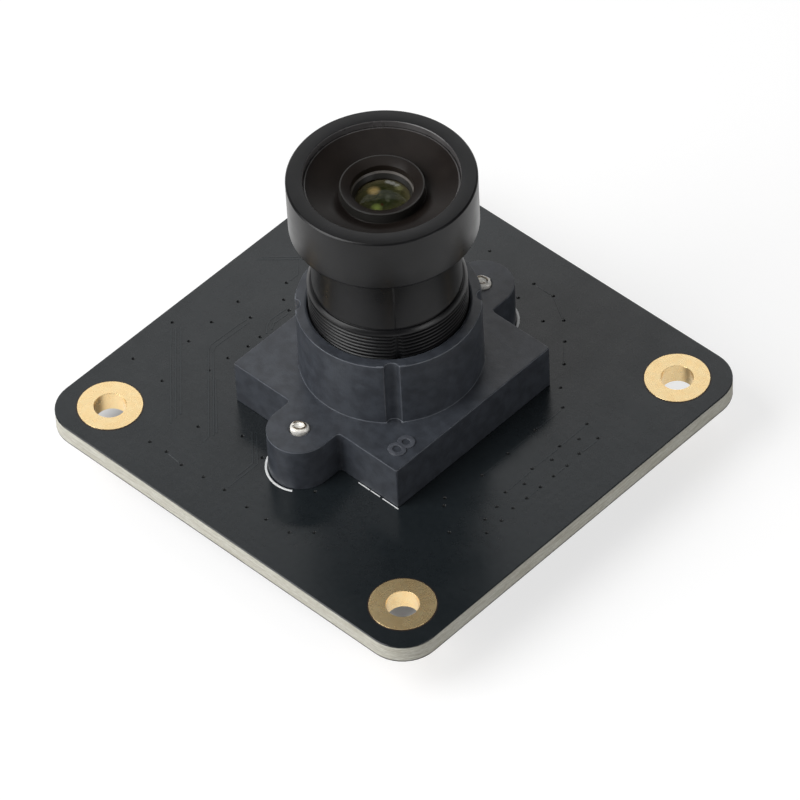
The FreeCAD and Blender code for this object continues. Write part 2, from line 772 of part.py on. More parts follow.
def make_front_elements():
    """Front meniscus and flat-fronted second element, seated from the front of the barrel."""
    apex = LENS_TOP - S.front_apex_drop
    rim = S.front_bore / 2 - S.fit_gap
    blank = cylinder("front_blank", rim, FRONT_SEAT, LENS_TOP)
    shell = ball("front_shell", S.front_radius, apex - S.front_radius)
    domed = combine("Part::Common", "front_domed", blank, shell)
    glass = hollow_face(domed, "front_glass", FRONT_SEAT, S.front_back_opening, S.front_back_radius)
    keep(glass, "front_element")

    low = FRONT_SEAT - S.second_thickness
    blank = cylinder("second_blank", S.middle_bore / 2 - S.fit_gap, low, FRONT_SEAT)
    glass = hollow_face(blank, "second_glass", low, S.second_opening, S.second_radius)
    keep(glass, "second_element")


def make_stop_and_spacer():
    """Spacer ring under the second element and the thin aperture stop below it."""
    rim = S.middle_bore / 2 - S.fit_gap
    stop_low = MIDDLE_SEAT + S.third_thickness
    stop_top = stop_low + S.stop_thickness
    spacer_top = FRONT_SEAT - S.second_thickness
    tube = cylinder("spacer_tube", rim, stop_top, spacer_top)
    hole = cylinder("spacer_hole", S.second_opening / 2, stop_top, spacer_top)
    keep(combine("Part::Cut", "spacer_ring", tube, hole), "lens_spacer")

    disc = cylinder("stop_disc", rim, stop_low, stop_top)
    hole = cylinder("stop_hole", S.stop_opening / 2, stop_low, stop_top)
    keep(combine("Part::Cut", "stop_ring", disc, hole), "aperture_stop")


def make_rear_elements():
    """Third element above the web, rear element below it."""
    top = MIDDLE_SEAT + S.third_thickness
    blank = cylinder("third_blank", S.middle_bore / 2 - S.fit_gap, MIDDLE_SEAT, top)
    opening = S.web_bore - S.fit_gap * 2
    glass = bulged_face(blank, "third_glass", MIDDLE_SEAT, opening, S.third_radius)
    keep(glass, "third_element")

    low = REAR_SEAT - S.rear_thickness
    blank = cylinder("rear_blank", S.rear_bore / 2 - S.fit_gap, low, REAR_SEAT)
    glass = bulged_face(blank, "rear_glass", low, S.rear_opening, S.rear_radius)
    keep(glass, "rear_element")


def make_rear_retainer():
    """Ring that holds the rear element, with spanner slots."""
    body = new_body("retainer_body")
    high = REAR_SEAT - S.rear_thickness
    low = high - S.retainer_length
    outer = S.rear_bore / 2 - S.fit_gap
    inner = S.retainer_bore / 2
    turned(body, "section", ((inner, low), (outer, low), (outer, high), (inner, high)))
    slots = new_sketch(body, "slots", offset=low)
    draw_box(slots, ZERO, ZERO, S.rear_bore, S.retainer_slot)
    pocket(body, slots, S.retainer_slot_depth, up=True)
    keep(body, "rear_retainer")


def moulded_chip(name, length, width, height, standoff):
    """Black moulded chip below the board, bevelled, with a dimple at pin one."""
    body = new_body(name)
    sketch = new_sketch(body, "outline", offset=-standoff)
    draw_box(sketch, ZERO, ZERO, length, width)
    pad(body, sketch, height, down=True)
    lowest = -(standoff + height).value
    face_edges = edges_where(
        body.Shape, lambda a, b: abs(a.z - lowest) < CLOSE and abs(b.z - lowest) < CLOSE
    )
    dress(body, "Chamfer", face_edges, S.chip_bevel)
    inset = S.pin_mark_radius * 2
    mark = new_sketch(body, "pin_mark", offset=-(standoff + height))
    draw_circle(mark, inset - length / 2, width / 2 - inset, S.pin_mark_radius)
    pocket(body, mark, S.pin_mark_depth, up=True)
    return body


def gull_wings(name, chip_width, chip_height, span, lead_width, pitch, per_side, sides):
    """Bent leads in rows along X, on two or four sides of a chip, each from chip to board."""
    body = new_body(name)
    sketch = new_sketch(body, "lead", "YZ_Plane", offset=-(pitch * (per_side - 1) / 2))
    toe = span / 2
    knee = toe - S.lead_foot
    metal = S.lead_thickness
    exit_height = -(S.chip_standoff + chip_height / 2)
    shoulder = knee - S.lead_slope
    outline = (
        (toe, ZERO),
        (toe, -metal),
        (knee + metal, -metal),
        (shoulder + metal, exit_height - metal / 2),
        (chip_width / 2, exit_height - metal / 2),
        (chip_width / 2, exit_height + metal / 2),
        (shoulder, exit_height + metal / 2),
        (knee, ZERO),
    )
    draw_polygon(sketch, outline)
    lead = pad(body, sketch, lead_width, both=True)
    steps = [line_pattern(body, "X_Axis", per_side, pitch), round_pattern(body, size(sides))]
    repeat(body, [lead], steps)
    return body


def make_processor():
    height = S.processor_height
    chip = moulded_chip("processor_chip", S.processor_side, S.processor_side, height, S.chip_standoff)
    leads = gull_wings(
        "processor_legs",
        S.processor_side,
        height,
        S.processor_span,
        S.processor_lead,
        S.processor_pitch,
        S.processor_leads_side,
        4,
    )
    for item in (chip, leads):
        place(item, -S.processor_shift, ZERO)
    keep(chip, "main_processor")
    keep(leads, "processor_leads")


FLASH_X = S.processor_span / 2 - S.processor_shift + S.part_gap + S.flash_length / 2


def make_flash():
    chip = moulded_chip(
        "flash_chip", S.flash_length, S.flash_width, S.flash_height, S.chip_standoff
    )
    leads = gull_wings(
        "flash_legs",
        S.flash_width,
        S.flash_height,
        S.flash_span,
        S.flash_lead,
        S.flash_pitch,
        S.flash_leads_side,
        2,
    )
    for item in (chip, leads):
        place(item, FLASH_X, ZERO)
    keep(chip, "flash_memory")
    keep(leads, "flash_leads")


INDUCTOR_X = FLASH_X + S.flash_length / 2 + S.part_gap + S.inductor_side / 2
REGULATOR_X = INDUCTOR_X + S.inductor_side / 2 + S.part_gap + S.regulator_span / 2


def make_regulators():
    """A column of voltage regulators with their leads."""
    chip = moulded_chip(
        "regulator_chip",
        S.regulator_length,
        S.regulator_width,
        S.regulator_height,
        S.chip_standoff,
    )
    leads = gull_wings(
        "regulator_legs",
        S.regulator_width,
        S.regulator_height,
        S.regulator_span,
        S.regulator_lead,
        S.regulator_pitch,
        S.regulator_leads_side,
        2,
    )
    for item, label in ((chip, "voltage_regulators"), (leads, "regulator_leads")):
        copies = []
        for i in range(int(S.regulator_count.value)):
            copy = doc.addObject("App::Link", f"{item.Name}_{i}")
            copy.LinkedObject = item
            copy.LinkTransform = False
            y = S.regulator_spacing * (i - (S.regulator_count.value - 1) / 2)
            place(copy, REGULATOR_X, y, turn=90)
            copies.append(copy)
        keep(group(f"{item.Name}_group", copies), label)


def make_crystal():
    """Ceramic base with a smaller metal lid."""
    body = new_body("crystal_body")
    base = new_sketch(body, "base")
    draw_box(base, ZERO, ZERO, S.crystal_length, S.crystal_width)
    pad(body, base, S.crystal_base, down=True)
    lid = new_sketch(body, "lid", offset=-S.crystal_base)
    rim = S.crystal_rim * 2
    draw_box(lid, ZERO, ZERO, S.crystal_length - rim, S.crystal_width - rim)
    pad(body, lid, S.crystal_lid, down=True)
    y = -(S.processor_span / 2 + S.part_gap + S.crystal_width / 2)
    place(body, -S.processor_shift, y)
    keep(body, "crystal")


def make_inductor():
    """Shielded power inductor with two wrapped terminals."""
    body = new_body("inductor_body")
    sketch = new_sketch(body, "outline", offset=-S.terminal_thickness)
    draw_box(sketch, ZERO, ZERO, S.inductor_side, S.inductor_side)
    pad(body, sketch, S.inductor_height, down=True)
    dress(body, "Fillet", edges_where(body.Shape, upright), S.inductor_corner)
    place(body, INDUCTOR_X, ZERO)
    keep(body, "power_inductor")

    clips = new_body("inductor_clips")
    profile = new_sketch(clips, "terminal", "XZ_Plane")
    side = S.inductor_side / 2
    metal = S.terminal_thickness
    outline = (
        (side - S.inductor_terminal, ZERO),
        (side + metal, ZERO),
        (side + metal, -S.terminal_lift),
        (side, -S.terminal_lift),
        (side, -metal),
        (side - S.inductor_terminal, -metal),
    )
    draw_polygon(profile, outline)
    clip = pad(clips, profile, S.inductor_side - S.inductor_corner * 2, both=True)
    repeat(clips, [clip], [round_pattern(clips, size(2))])
    place(clips, INDUCTOR_X, ZERO)
    keep(clips, "inductor_terminals")


def make_tantalums():
    """A tantalum capacitor above and below the inductor."""
    body = moulded_chip(
        "tantalum_body", S.tantalum_length, S.tantalum_width, S.tantalum_height, ZERO
    )
    y = S.inductor_side / 2 + S.part_gap * 2 + S.tantalum_width / 2
    place(body, INDUCTOR_X, y)
    keep(mirrored(body, (0, 1, 0)), "tantalum_capacitors")


def chip_row(name, length, width, height, count, pitch, x, y, turn):
    """A row of chip parts, each with two metal ends, side by side."""
    body = new_body(name)
    start = -(pitch * (count - 1) / 2)
    core = new_sketch(body, "core")
    draw_box(core, start, ZERO, width, length - S.end_cap)
    core_pad = pad(body, core, height, down=True)
    ends = new_sketch(body, "ends")
    for side in (-1, 1):
        middle = (length - S.end_cap) / 2 * side
        draw_box(ends, start, middle, width + S.end_swell * 2, S.end_cap)
    end_pad = pad(body, ends, height + S.end_swell, down=True)
    repeat(body, [core_pad, end_pad], [line_pattern(body, "X_Axis", count, pitch)])
    place(body, x, y, turn=turn)
    return body


def make_chip_parts():
    """Decoupling capacitors round the processor, resistors beyond them and by the header."""
    beside = S.processor_span / 2 + S.part_gap + S.capacitor_length / 2
    sizes = (S.capacitor_length, S.capacitor_width, S.capacitor_height)
    rows = (
        chip_row("capacitors_up", *sizes, S.capacitor_count, S.chip_pitch,
                 -S.processor_shift - S.part_gap, beside, 0),
        chip_row("capacitors_left", *sizes, S.capacitor_count, S.chip_pitch,
                 -S.processor_shift - beside, ZERO, 90),
    )
    keep(group("capacitor_rows", rows), "ceramic_capacitors")

    beyond = beside + S.capacitor_length / 2 + S.part_gap + S.resistor_length / 2
    sizes = (S.resistor_length, S.resistor_width, S.resistor_height)
    header_back = S.board_side / 2 - S.header_inset - S.header_depth - S.contact_foot
    rows = (
        chip_row("resistors_left", *sizes, S.resistor_count, S.resistor_pitch,
                 -S.processor_shift - beyond, ZERO, 90),
        chip_row("resistors_header", *sizes, S.resistor_count, S.resistor_pitch,
                 -(S.screw_head_diameter / 2 + S.part_gap + S.resistor_pitch * S.resistor_count / 2),
                 header_back - S.part_gap - S.resistor_length / 2, 0),
    )
    keep(group("resistor_rows", rows), "chip_resistors")


HEADER_LENGTH = S.header_pitch * (S.header_contacts - 1) + S.header_end * 2
HEADER_Y = S.board_side / 2 - S.header_inset - S.header_depth / 2
CONTACT_START = -(S.header_pitch * (S.header_contacts - 1) / 2)


def make_header_housing():
    """White four-way socket that faces down, with latch slots and contact holes."""
    body = new_body("header_body")
    sketch = new_sketch(body, "outline")
    draw_box(sketch, ZERO, ZERO, HEADER_LENGTH, S.header_depth)
    pad(body, sketch, S.header_height, down=True)
    mouth = new_sketch(body, "mouth", offset=-S.header_height)
    wall = S.header_wall * 2
    draw_box(mouth, ZERO, ZERO, HEADER_LENGTH - wall, S.header_depth - wall)
    pocket(body, mouth, S.header_height - S.header_floor, up=True)

    latches = new_sketch(body, "latches", "XZ_Plane", offset=-(S.header_depth / 2))
    for side in (-1, 1):
        middle = (HEADER_LENGTH / 2 - S.header_wall - S.latch_width) * side
        draw_box(latches, middle, -(S.header_height - S.latch_height / 2), S.latch_width, S.latch_height)
    pocket(body, latches, S.header_wall, up=True)

    gap = S.contact_gap * 2
    holes = new_sketch(body, "contact_hole", offset=-S.header_floor)
    draw_box(holes, CONTACT_START, ZERO, S.contact_width + gap, S.contact_width + gap)
    hole = pocket(body, holes, S.header_floor, up=True)
    channel = new_sketch(body, "channel")
    back = -(S.header_depth / 2)
    side = S.contact_width / 2 + S.contact_gap
    outline = (
        (CONTACT_START - side, back),
        (CONTACT_START + side, back),
        (CONTACT_START + side, side),
        (CONTACT_START - side, side),
    )
    draw_polygon(channel, outline)
    slot = pocket(body, channel, S.contact_width + S.contact_gap)
    row = line_pattern(body, "X_Axis", S.header_contacts, S.header_pitch)
    repeat(body, [hole, slot], [row])
    place(body, ZERO, HEADER_Y)
    keep(body, "usb_header")


def make_header_contacts():
    """Square contacts, bent once, with their feet behind the housing."""
    body = new_body("contact_body")
    sketch = new_sketch(body, "contact", "YZ_Plane", offset=CONTACT_START)
    half = S.contact_width / 2
    foot = -(S.header_depth / 2 + S.contact_foot)
    tip = -(S.header_height - S.contact_inset)
    outline = (
        (foot, ZERO),
        (half, ZERO),
        (half, tip),
        (-half, tip),
        (-half, -S.contact_width),
        (foot, -S.contact_width),
    )
    draw_polygon(sketch, outline)
    pin = pad(body, sketch, S.contact_width, both=True)
    repeat(body, [pin], [line_pattern(body, "X_Axis", S.header_contacts, S.header_pitch)])
    place(body, ZERO, HEADER_Y)
    keep(body, "header_contacts")


def make_header_tabs():
    """Bent solder tabs at the two ends of the housing."""
    body = new_body("tab_body")
    sketch = new_sketch(body, "tab", "XZ_Plane")
    end = HEADER_LENGTH / 2
    metal = S.tab_thickness
    outline = (
        (end, ZERO),
        (end + S.tab_foot, ZERO),
        (end + S.tab_foot, -metal),
        (end + metal, -metal),
        (end + metal, -S.tab_height),
        (end, -S.tab_height),
    )
    draw_polygon(sketch, outline)
    tab = pad(body, sketch, S.tab_width, both=True)
    repeat(body, [tab], [round_pattern(body, size(2))])
    place(body, ZERO, HEADER_Y)
    keep(body, "header_tabs")


def check_model():
    """Stops if any object failed or any sub-part has a bad shape."""
    doc.recompute()
    for item in doc.Objects:
        if "Invalid" in item.State or "Error" in item.State:
            raise RuntimeError(f"{item.Name} failed: {item.State}")
    for item in parts:
        if item.Shape.isNull() or not item.Shape.isValid() or not item.Shape.Solids:
            raise RuntimeError(f"{item.Label} has a bad shape")


def write_parts():
    os.makedirs("parts", exist_ok=True)
    for item in parts:
        item.Shape.exportStep(f"parts/{item.Label}.step")
        box = item.Shape.BoundBox
        print(
            f"{item.Label}: {len(item.Shape.Solids)} solids, {item.Shape.Volume:.3f} mm3, "
            f"z {box.ZMin:.2f} to {box.ZMax:.2f}"
        )


make_board()
make_hole_platings()
make_lens_holder()
make_holder_screws()
make_filter_and_sensor()
make_lens_barrel()
make_front_ring()
make_front_elements()
make_stop_and_spacer()
make_rear_elements()
make_rear_retainer()
make_processor()
make_flash()
make_regulators()
make_crystal()
make_inductor()
make_tantalums()
make_chip_parts()
make_header_housing()
make_header_contacts()
make_header_tabs()
check_model()
write_parts()
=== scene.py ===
import bmesh
import bpy
import math
from mathutils import Matrix, Vector


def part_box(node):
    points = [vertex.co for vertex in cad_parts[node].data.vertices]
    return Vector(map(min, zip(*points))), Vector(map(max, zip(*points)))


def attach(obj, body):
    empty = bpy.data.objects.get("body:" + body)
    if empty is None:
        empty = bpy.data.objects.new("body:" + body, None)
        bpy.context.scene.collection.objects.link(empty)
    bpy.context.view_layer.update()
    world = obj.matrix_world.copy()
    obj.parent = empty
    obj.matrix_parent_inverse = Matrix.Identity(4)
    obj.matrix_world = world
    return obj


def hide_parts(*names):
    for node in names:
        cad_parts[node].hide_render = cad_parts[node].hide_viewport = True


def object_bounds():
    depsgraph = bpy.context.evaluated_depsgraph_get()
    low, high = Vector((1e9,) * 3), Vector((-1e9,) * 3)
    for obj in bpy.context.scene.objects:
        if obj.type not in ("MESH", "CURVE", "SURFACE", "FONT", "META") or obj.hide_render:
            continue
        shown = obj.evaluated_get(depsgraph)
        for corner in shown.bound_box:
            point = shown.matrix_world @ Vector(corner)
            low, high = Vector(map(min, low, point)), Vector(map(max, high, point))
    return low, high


# Looks of the board camera module. Lengths in the shape code are millimetres in the frame's axes,
# and are turned to metres when a mesh is stored. The lens axis is the frame's Z axis.

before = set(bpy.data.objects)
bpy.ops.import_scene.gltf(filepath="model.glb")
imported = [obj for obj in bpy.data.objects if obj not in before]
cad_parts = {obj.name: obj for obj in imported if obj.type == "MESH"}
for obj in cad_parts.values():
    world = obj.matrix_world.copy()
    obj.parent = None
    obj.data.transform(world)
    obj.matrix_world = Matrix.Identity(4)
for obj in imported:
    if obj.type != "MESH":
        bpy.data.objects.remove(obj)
cad_low, cad_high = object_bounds()

MM = 0.001
TURN = 2 * math.pi

WELD = 1e-4
NODE_WELD = 2e-4


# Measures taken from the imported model

def low_high(node):
    """Lowest and highest corners of a node in millimetres."""
    low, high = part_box(node)
    return low / MM, high / MM


TIP_HEIGHT = 0.3
HEAD_LENGTH = 4.8
PLAIN_END = 0.75
THREAD_IN_VIEW = 2.55

BOARD_HALF, BOARD_TOP = low_high("circuit_board")[1].xz
BLOCK_TOP = low_high("holder_screws")[1].z - TIP_HEIGHT
BOSS_TOP = low_high("lens_holder")[1].z
LENS_LOW = low_high("lens_barrel")[0].z
LENS_TOP = low_high("lens_barrel")[1].z
HEAD_R = low_high("lens_barrel")[1].x
HEAD_LOW = LENS_TOP - HEAD_LENGTH
THREAD_LOW = LENS_LOW + PLAIN_END
THREAD_HIGH = BOSS_TOP + THREAD_IN_VIEW
HOLE_PLACE = 15.15
HOLES = [(sx * HOLE_PLACE, sy * HOLE_PLACE) for sx in (1, -1) for sy in (1, -1)]
LAMINATE_HOLE = 1.3
SLEEVE_BORE = 1.25
RING_R = 2.5
RING_HEIGHT = 0.04
CORNER_R = 3.0
SCREW_PLACE = 10.0
SCREW_HOLE = 1.0


# Small shape helpers

def finish_piece(name, bm, body, materials, sharp, weighted=False):
    """Stores a bmesh in millimetres as a piece that rides on a body.

    Edges that turn by more than sharp radians are creased.
    """
    bmesh.ops.scale(bm, vec=(MM, MM, MM), verts=bm.verts)
    for face in bm.faces:
        face.smooth = True
    for edge in bm.edges:
        edge.smooth = not (len(edge.link_faces) == 2 and edge.calc_face_angle(0) > sharp)
    mesh = bpy.data.meshes.new(name)
    bm.to_mesh(mesh)
    bm.free()
    for material in materials:
        mesh.materials.append(material)
    piece = bpy.data.objects.new(name, mesh)
    bpy.context.scene.collection.objects.link(piece)
    if weighted:
        normals = piece.modifiers.new("normals", "WEIGHTED_NORMAL")
        normals.keep_sharp = True
    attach(piece, body)
    return piece


def softened(outline, steps=3):
    """A closed outline of (x, y, rounding) with its corners rounded."""
    points = []
    count = len(outline)
    for k, (x, y, rounding) in enumerate(outline):
        here = Vector((x, y))
        if rounding <= 0:
            points.append(here)
            continue
        before = Vector(outline[k - 1][:2]) - here
        after = Vector(outline[(k + 1) % count][:2]) - here
        reach = rounding / math.tan(before.angle(after) / 2)
        start = here + before.normalized() * reach
        end = here + after.normalized() * reach
        for step in range(steps + 1):
            t = step / steps
            points.append(start * (1 - t) ** 2 + here * 2 * t * (1 - t) + end * t * t)
    return points


def turned(bm, profile, segments, open_after=None):
    """Turns a closed profile of (radius, height) about the lens axis."""
    count = len(profile)
    rings = []
    for i in range(segments):
        c, s = math.cos(TURN * i / segments), math.sin(TURN * i / segments)
        rings.append([bm.verts.new((p[0] * c, p[0] * s, p[1])) for p in profile])
    for i in range(segments):
        here, there = rings[i], rings[(i + 1) % segments]
        for k in range(count):
            if k != open_after:
                bm.faces.new((here[k], there[k], there[(k + 1) % count], here[(k + 1) % count]))


def tidy_mesh(bm):
    """Welds the points that meet, drops empty faces and turns the rest outwards."""
    bmesh.ops.remove_doubles(bm, verts=bm.verts, dist=WELD)
    bmesh.ops.dissolve_degenerate(bm, edges=bm.edges, dist=WELD)
    bmesh.ops.recalc_face_normals(bm, faces=bm.faces)


def slab(bm, points, low, high, inset=0.0):
    """A flat prism on an outline, from height low to high, where its edge is drawn in by inset."""
    count = len(points)
    middle = sum((Vector(p) for p in points), Vector((0, 0))) / count
    lower = [bm.verts.new((p[0], p[1], low)) for p in points]
    upper = []
    for p in points:
        away = Vector(p) - middle
        near = middle + away * (1 - inset / max(away.length, 1e-6))
        upper.append(bm.verts.new((near.x, near.y, high)))
    bm.faces.new(upper)
    bm.faces.new(lower[::-1])
    for k in range(count):
        other = (k + 1) % count
        bm.faces.new((lower[k], lower[other], upper[other], upper[k]))


RIBBON_TOP = 0.7
MITRE_LIMIT = 0.5


def ribbon(bm, line, width, low, high):
    """A raised strip along a line of points, mitred at its corners, narrower at height high."""
    points = [Vector(p) for p in line]
    rows = []
    for k, here in enumerate(points):
        ahead = (points[k + 1] - here).normalized() if k + 1 < len(points) else None
        behind = (here - points[k - 1]).normalized() if k else None
        along = ((ahead or behind) + (behind or ahead)).normalized()
        across = Vector((-along.y, along.x))
        leg = ahead or behind
        reach = width / 2 / max(MITRE_LIMIT, across.dot(Vector((-leg.y, leg.x))))
        top = reach * RIBBON_TOP
        sides = ((-reach, low), (reach, low), (top, high), (-top, high))
        rows.append([bm.verts.new((*(here + across * x), z)) for x, z in sides])
    for a, b in zip(rows, rows[1:]):
        for k in range(4):
            bm.faces.new((a[k], b[k], b[(k + 1) % 4], a[(k + 1) % 4]))
    bm.faces.new(rows[0])
    bm.faces.new(rows[-1][::-1])


def arc(centre, radius, start, end, steps):
    """Points along an arc, angles in degrees."""
    turns = (math.radians(start + (end - start) * k / steps) for k in range(steps + 1))
    return [(centre[0] + radius * math.cos(t), centre[1] + radius * math.sin(t)) for t in turns]


def circle(centre, radius, count):
    """Points round a circle, without a second one at its start."""
    return arc(centre, radius, 0, 360 * (count - 1) / count, count - 1)


def node_bmesh(node):
    """A welded copy of a node's mesh in millimetres, with its flat faces whole again."""
    bm = bmesh.new()
    bm.from_mesh(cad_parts[node].data)
    bmesh.ops.scale(bm, vec=(1 / MM,) * 3, verts=bm.verts)
    bmesh.ops.remove_doubles(bm, verts=bm.verts, dist=NODE_WELD)
    bmesh.ops.dissolve_limit(bm, angle_limit=0.01, verts=bm.verts, edges=bm.edges)
    bmesh.ops.recalc_face_normals(bm, faces=bm.faces)
    return bm


SHARP_TURN = 0.6
# Painted highlight: bevels whose normal points upwards within this range take the lighter edge
# material.
HIGHLIGHT_FACING = (0.2, 0.96)


def dressed(node, body, material, rounding, highlight_material=None, clamp=True):
    """A copy of a node with its sharp edges rounded, which stands for the node.

    Where a highlight material is given, the bevels that face partly upwards take it as a painted
    highlight.
    """
    bm = node_bmesh(node)
    edges = [e for e in bm.edges if len(e.link_faces) == 2 and e.calc_face_angle(0) > SHARP_TURN]
    rounded = bmesh.ops.bevel(
        bm,
        geom=edges,
        offset=rounding,
        segments=2,
        profile=0.6,
        affect="EDGES",
        clamp_overlap=clamp,
    )
    if highlight_material:
        for face in rounded["faces"]:
            face.normal_update()
            if HIGHLIGHT_FACING[0] < face.normal.z < HIGHLIGHT_FACING[1]:
                face.material_index = 1
    for layer in (bm.loops.layers.float_vector, bm.loops.layers.uv):
        for key in list(layer.keys()):
            layer.remove(layer[key])
    materials = [material, highlight_material] if highlight_material else [material]
    piece = finish_piece(f"{node}_shape", bm, body, materials, 0.9, weighted=True)
    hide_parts(node)
    return piece


def islands(node):
    """Boxes of the separate solids in a node, as (low, high) pairs in millimetres."""
    bm = bmesh.new()
    bm.from_mesh(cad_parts[node].data)
    bmesh.ops.remove_doubles(bm, verts=bm.verts, dist=NODE_WELD * MM)
    seen, boxes = set(), []
    for first in bm.verts:
        if first in seen:
            continue
        seen.add(first)
        group, stack = [], [first]
        while stack:
            vert = stack.pop()
            group.append(vert.co / MM)
            for edge in vert.link_edges:
                other = edge.other_vert(vert)
                if other not in seen:
                    seen.add(other)
                    stack.append(other)
        low = Vector([min(c[k] for c in group) for k in range(3)])
        high = Vector([max(c[k] for c in group) for k in range(3)])
        boxes.append((low, high))
    bm.free()
    return boxes


# Materials

def tone(red, green, blue):
    """A colour written in the 0 to 255 scale as the linear colour the shader takes."""
    linear = []
    for value in (red / 255, green / 255, blue / 255):
        linear.append(value / 12.92 if value < 0.04045 else ((value + 0.055) / 1.055) ** 2.4)
    return (*linear, 1.0)


class Graph:
    """Helpers that add nodes to a node tree."""

    def __init__(self, tree, coordinates="Object"):
        self.nodes = tree.nodes
        self.links = tree.links
        self.place = self.nodes.new("ShaderNodeTexCoord").outputs[coordinates]

    def link(self, source, socket):
        self.links.new(source, socket)

    def axis(self, name):
        node = self.nodes.new("ShaderNodeSeparateXYZ")
        self.link(self.place, node.inputs[0])
        return node.outputs[name]

    def ramp(self, value, stops, smooth=False):
        node = self.nodes.new("ShaderNodeValToRGB")
        if smooth:
            node.color_ramp.interpolation = "EASE"
        elements = node.color_ramp.elements
        while len(elements) < len(stops):
            elements.new(0.5)
        for element, (position, colour) in zip(elements, stops):
            element.position = position
            element.color = colour
        self.link(value, node.inputs["Fac"])
        return node.outputs["Color"]

    def span(self, value, low, high, to_low, to_high):
        """The range low to high of a value turned to another range, and held at its ends."""
        node = self.nodes.new("ShaderNodeMapRange")
        keys = ("From Min", "From Max", "To Min", "To Max")
        for key, number in zip(keys, (low, high, to_low, to_high)):
            node.inputs[key].default_value = number
        self.link(value, node.inputs["Value"])
        return node.outputs["Result"]

    def maths(self, kind, *values):
        node = self.nodes.new("ShaderNodeMath")
        node.operation = kind
        for socket, value in zip(node.inputs, values):
            if isinstance(value, (int, float)):
                socket.default_value = value
            else:
                self.link(value, socket)
        return node.outputs[0]

    def blend(self, share, a, b):
        """Colour a mixed with colour b, of which it takes the share."""
        node = self.nodes.new("ShaderNodeMix")
        node.data_type = "RGBA"
        for socket, value in zip((node.inputs[0], node.inputs[6], node.inputs[7]), (share, a, b)):
            if isinstance(value, (int, float, tuple)):
                socket.default_value = value
            else:
                self.link(value, socket)
        return node.outputs[2]

    def seen(self, strength, otherwise, kinds):
        """One strength for the named kinds of rays, and another for the rest."""
        path = self.nodes.new("ShaderNodeLightPath")
        total = path.outputs[kinds[0]]
        for kind in kinds[1:]:
            total = self.maths("MAXIMUM", total, path.outputs[kind])
        return self.span(total, 0, 1, otherwise, strength)


class Finish(Graph):
    """A material whose look is made of noise in object coordinates."""

    def __init__(self, name, **sockets):
        self.material = bpy.data.materials.new(name)
        self.material.use_nodes = True
        super().__init__(self.material.node_tree)
        self.shader = self.nodes["Principled BSDF"]
        for key, value in sockets.items():
            self.shader.inputs[key.replace("_", " ")].default_value = value

    def stretched(self, scale):
        node = self.nodes.new("ShaderNodeMapping")
        node.inputs["Scale"].default_value = scale
        self.link(self.place, node.inputs["Vector"])
        return node.outputs["Vector"]

    def noise(self, size, detail, roughness=0.55, stretch=None):
        """Noise whose patches are about size millimetres across."""
        node = self.nodes.new("ShaderNodeTexNoise")
        node.inputs["Scale"].default_value = 1 / (size * MM)
        node.inputs["Detail"].default_value = detail
        node.inputs["Roughness"].default_value = roughness
        self.link(self.stretched(stretch) if stretch else self.place, node.inputs["Vector"])
        return node.outputs["Fac"]

    def square(self, name, middle=0.0):
        """Squared distance in metres along an axis from a place in millimetres."""
        off = self.maths("SUBTRACT", self.axis(name), middle * MM)
        return self.maths("MULTIPLY", off, off)

    def bump(self, height, depth, strength=1.0):
        """Relief of depth millimetres, added to what is there."""
        node = self.nodes.new("ShaderNodeBump")
        node.inputs["Distance"].default_value = depth * MM
        node.inputs["Strength"].default_value = strength
        self.link(height, node.inputs["Height"])
        normal = self.shader.inputs["Normal"]
        if normal.is_linked:
            self.link(normal.links[0].from_socket, node.inputs["Normal"])
        self.link(node.outputs["Normal"], normal)

    def colour(self, source):
        self.link(source, self.shader.inputs["Base Color"])

    def roughness(self, value, low, high):
        self.link(self.span(value, 0.3, 0.7, low, high), self.shader.inputs["Roughness"])


def plastic(name, dark, light, rough, grain, depth, patches=1.6, **sockets):
    """Moulded plastic between two tones, with spark-eroded grain and faint cloudiness."""
    look = Finish(name, **sockets)
    cloud = look.noise(patches, 4.0)
    fine = look.noise(grain, 2.0, 0.6)
    look.colour(look.ramp(cloud, ((0.3, tone(*dark)), (0.7, tone(*light))), True))
    look.roughness(look.noise(patches * 0.6, 5.0), rough[0], rough[1])
    look.bump(fine, depth)
    look.bump(cloud, depth * 4, 0.5)
    return look.material


def metal(name, dark, light, rough, grain, depth, stretch=None, **sockets):
    """Plated metal between two tones, with a fine surface."""
    look = Finish(name, **{"Metallic": 1.0, **sockets})
    cloud = look.noise(0.5, 4.0)
    fine = look.noise(grain, 3.0, 0.6, stretch)
    look.colour(look.ramp(cloud, ((0.3, tone(*dark)), (0.7, tone(*light))), True))
    look.roughness(fine, rough[0], rough[1])
    look.bump(fine, depth)
    return look.material


def board_mask():
    """Dark satin solder mask, through which the weave of the laminate shows faintly."""
    look = Finish("board_mask", IOR=1.46)
    cloud = look.noise(7.0, 3.0)
    speckle = look.noise(0.5, 2.0, 0.55)
    weave = look.maths(
        "MULTIPLY",
        look.noise(0.5, 1.0, 0.5, (1, 0.25, 1)),
        look.noise(0.5, 1.0, 0.5, (0.25, 1, 1)),
    )
    base = look.ramp(cloud, ((0.3, tone(25, 30, 33)), (0.7, tone(29, 34, 37))), True)
    look.colour(look.blend(look.span(speckle, 0.35, 0.7, 0, 0.5), base, tone(34, 39, 42)))
    look.roughness(look.noise(2.2, 4.0), 0.2, 0.27)
    look.bump(speckle, 0.002)
    look.bump(weave, 0.006, 0.6)
    return look.material


def track_mask():
    """The same mask where it lies over a track."""
    look = Finish("track_mask", IOR=1.46)
    cloud = look.noise(0.8, 3.0)
    look.colour(look.ramp(cloud, ((0.3, tone(32, 37, 40)), (0.7, tone(39, 44, 47)))))
    look.roughness(cloud, 0.2, 0.27)
    look.bump(look.noise(0.2, 3.0), 0.002)
    return look.material


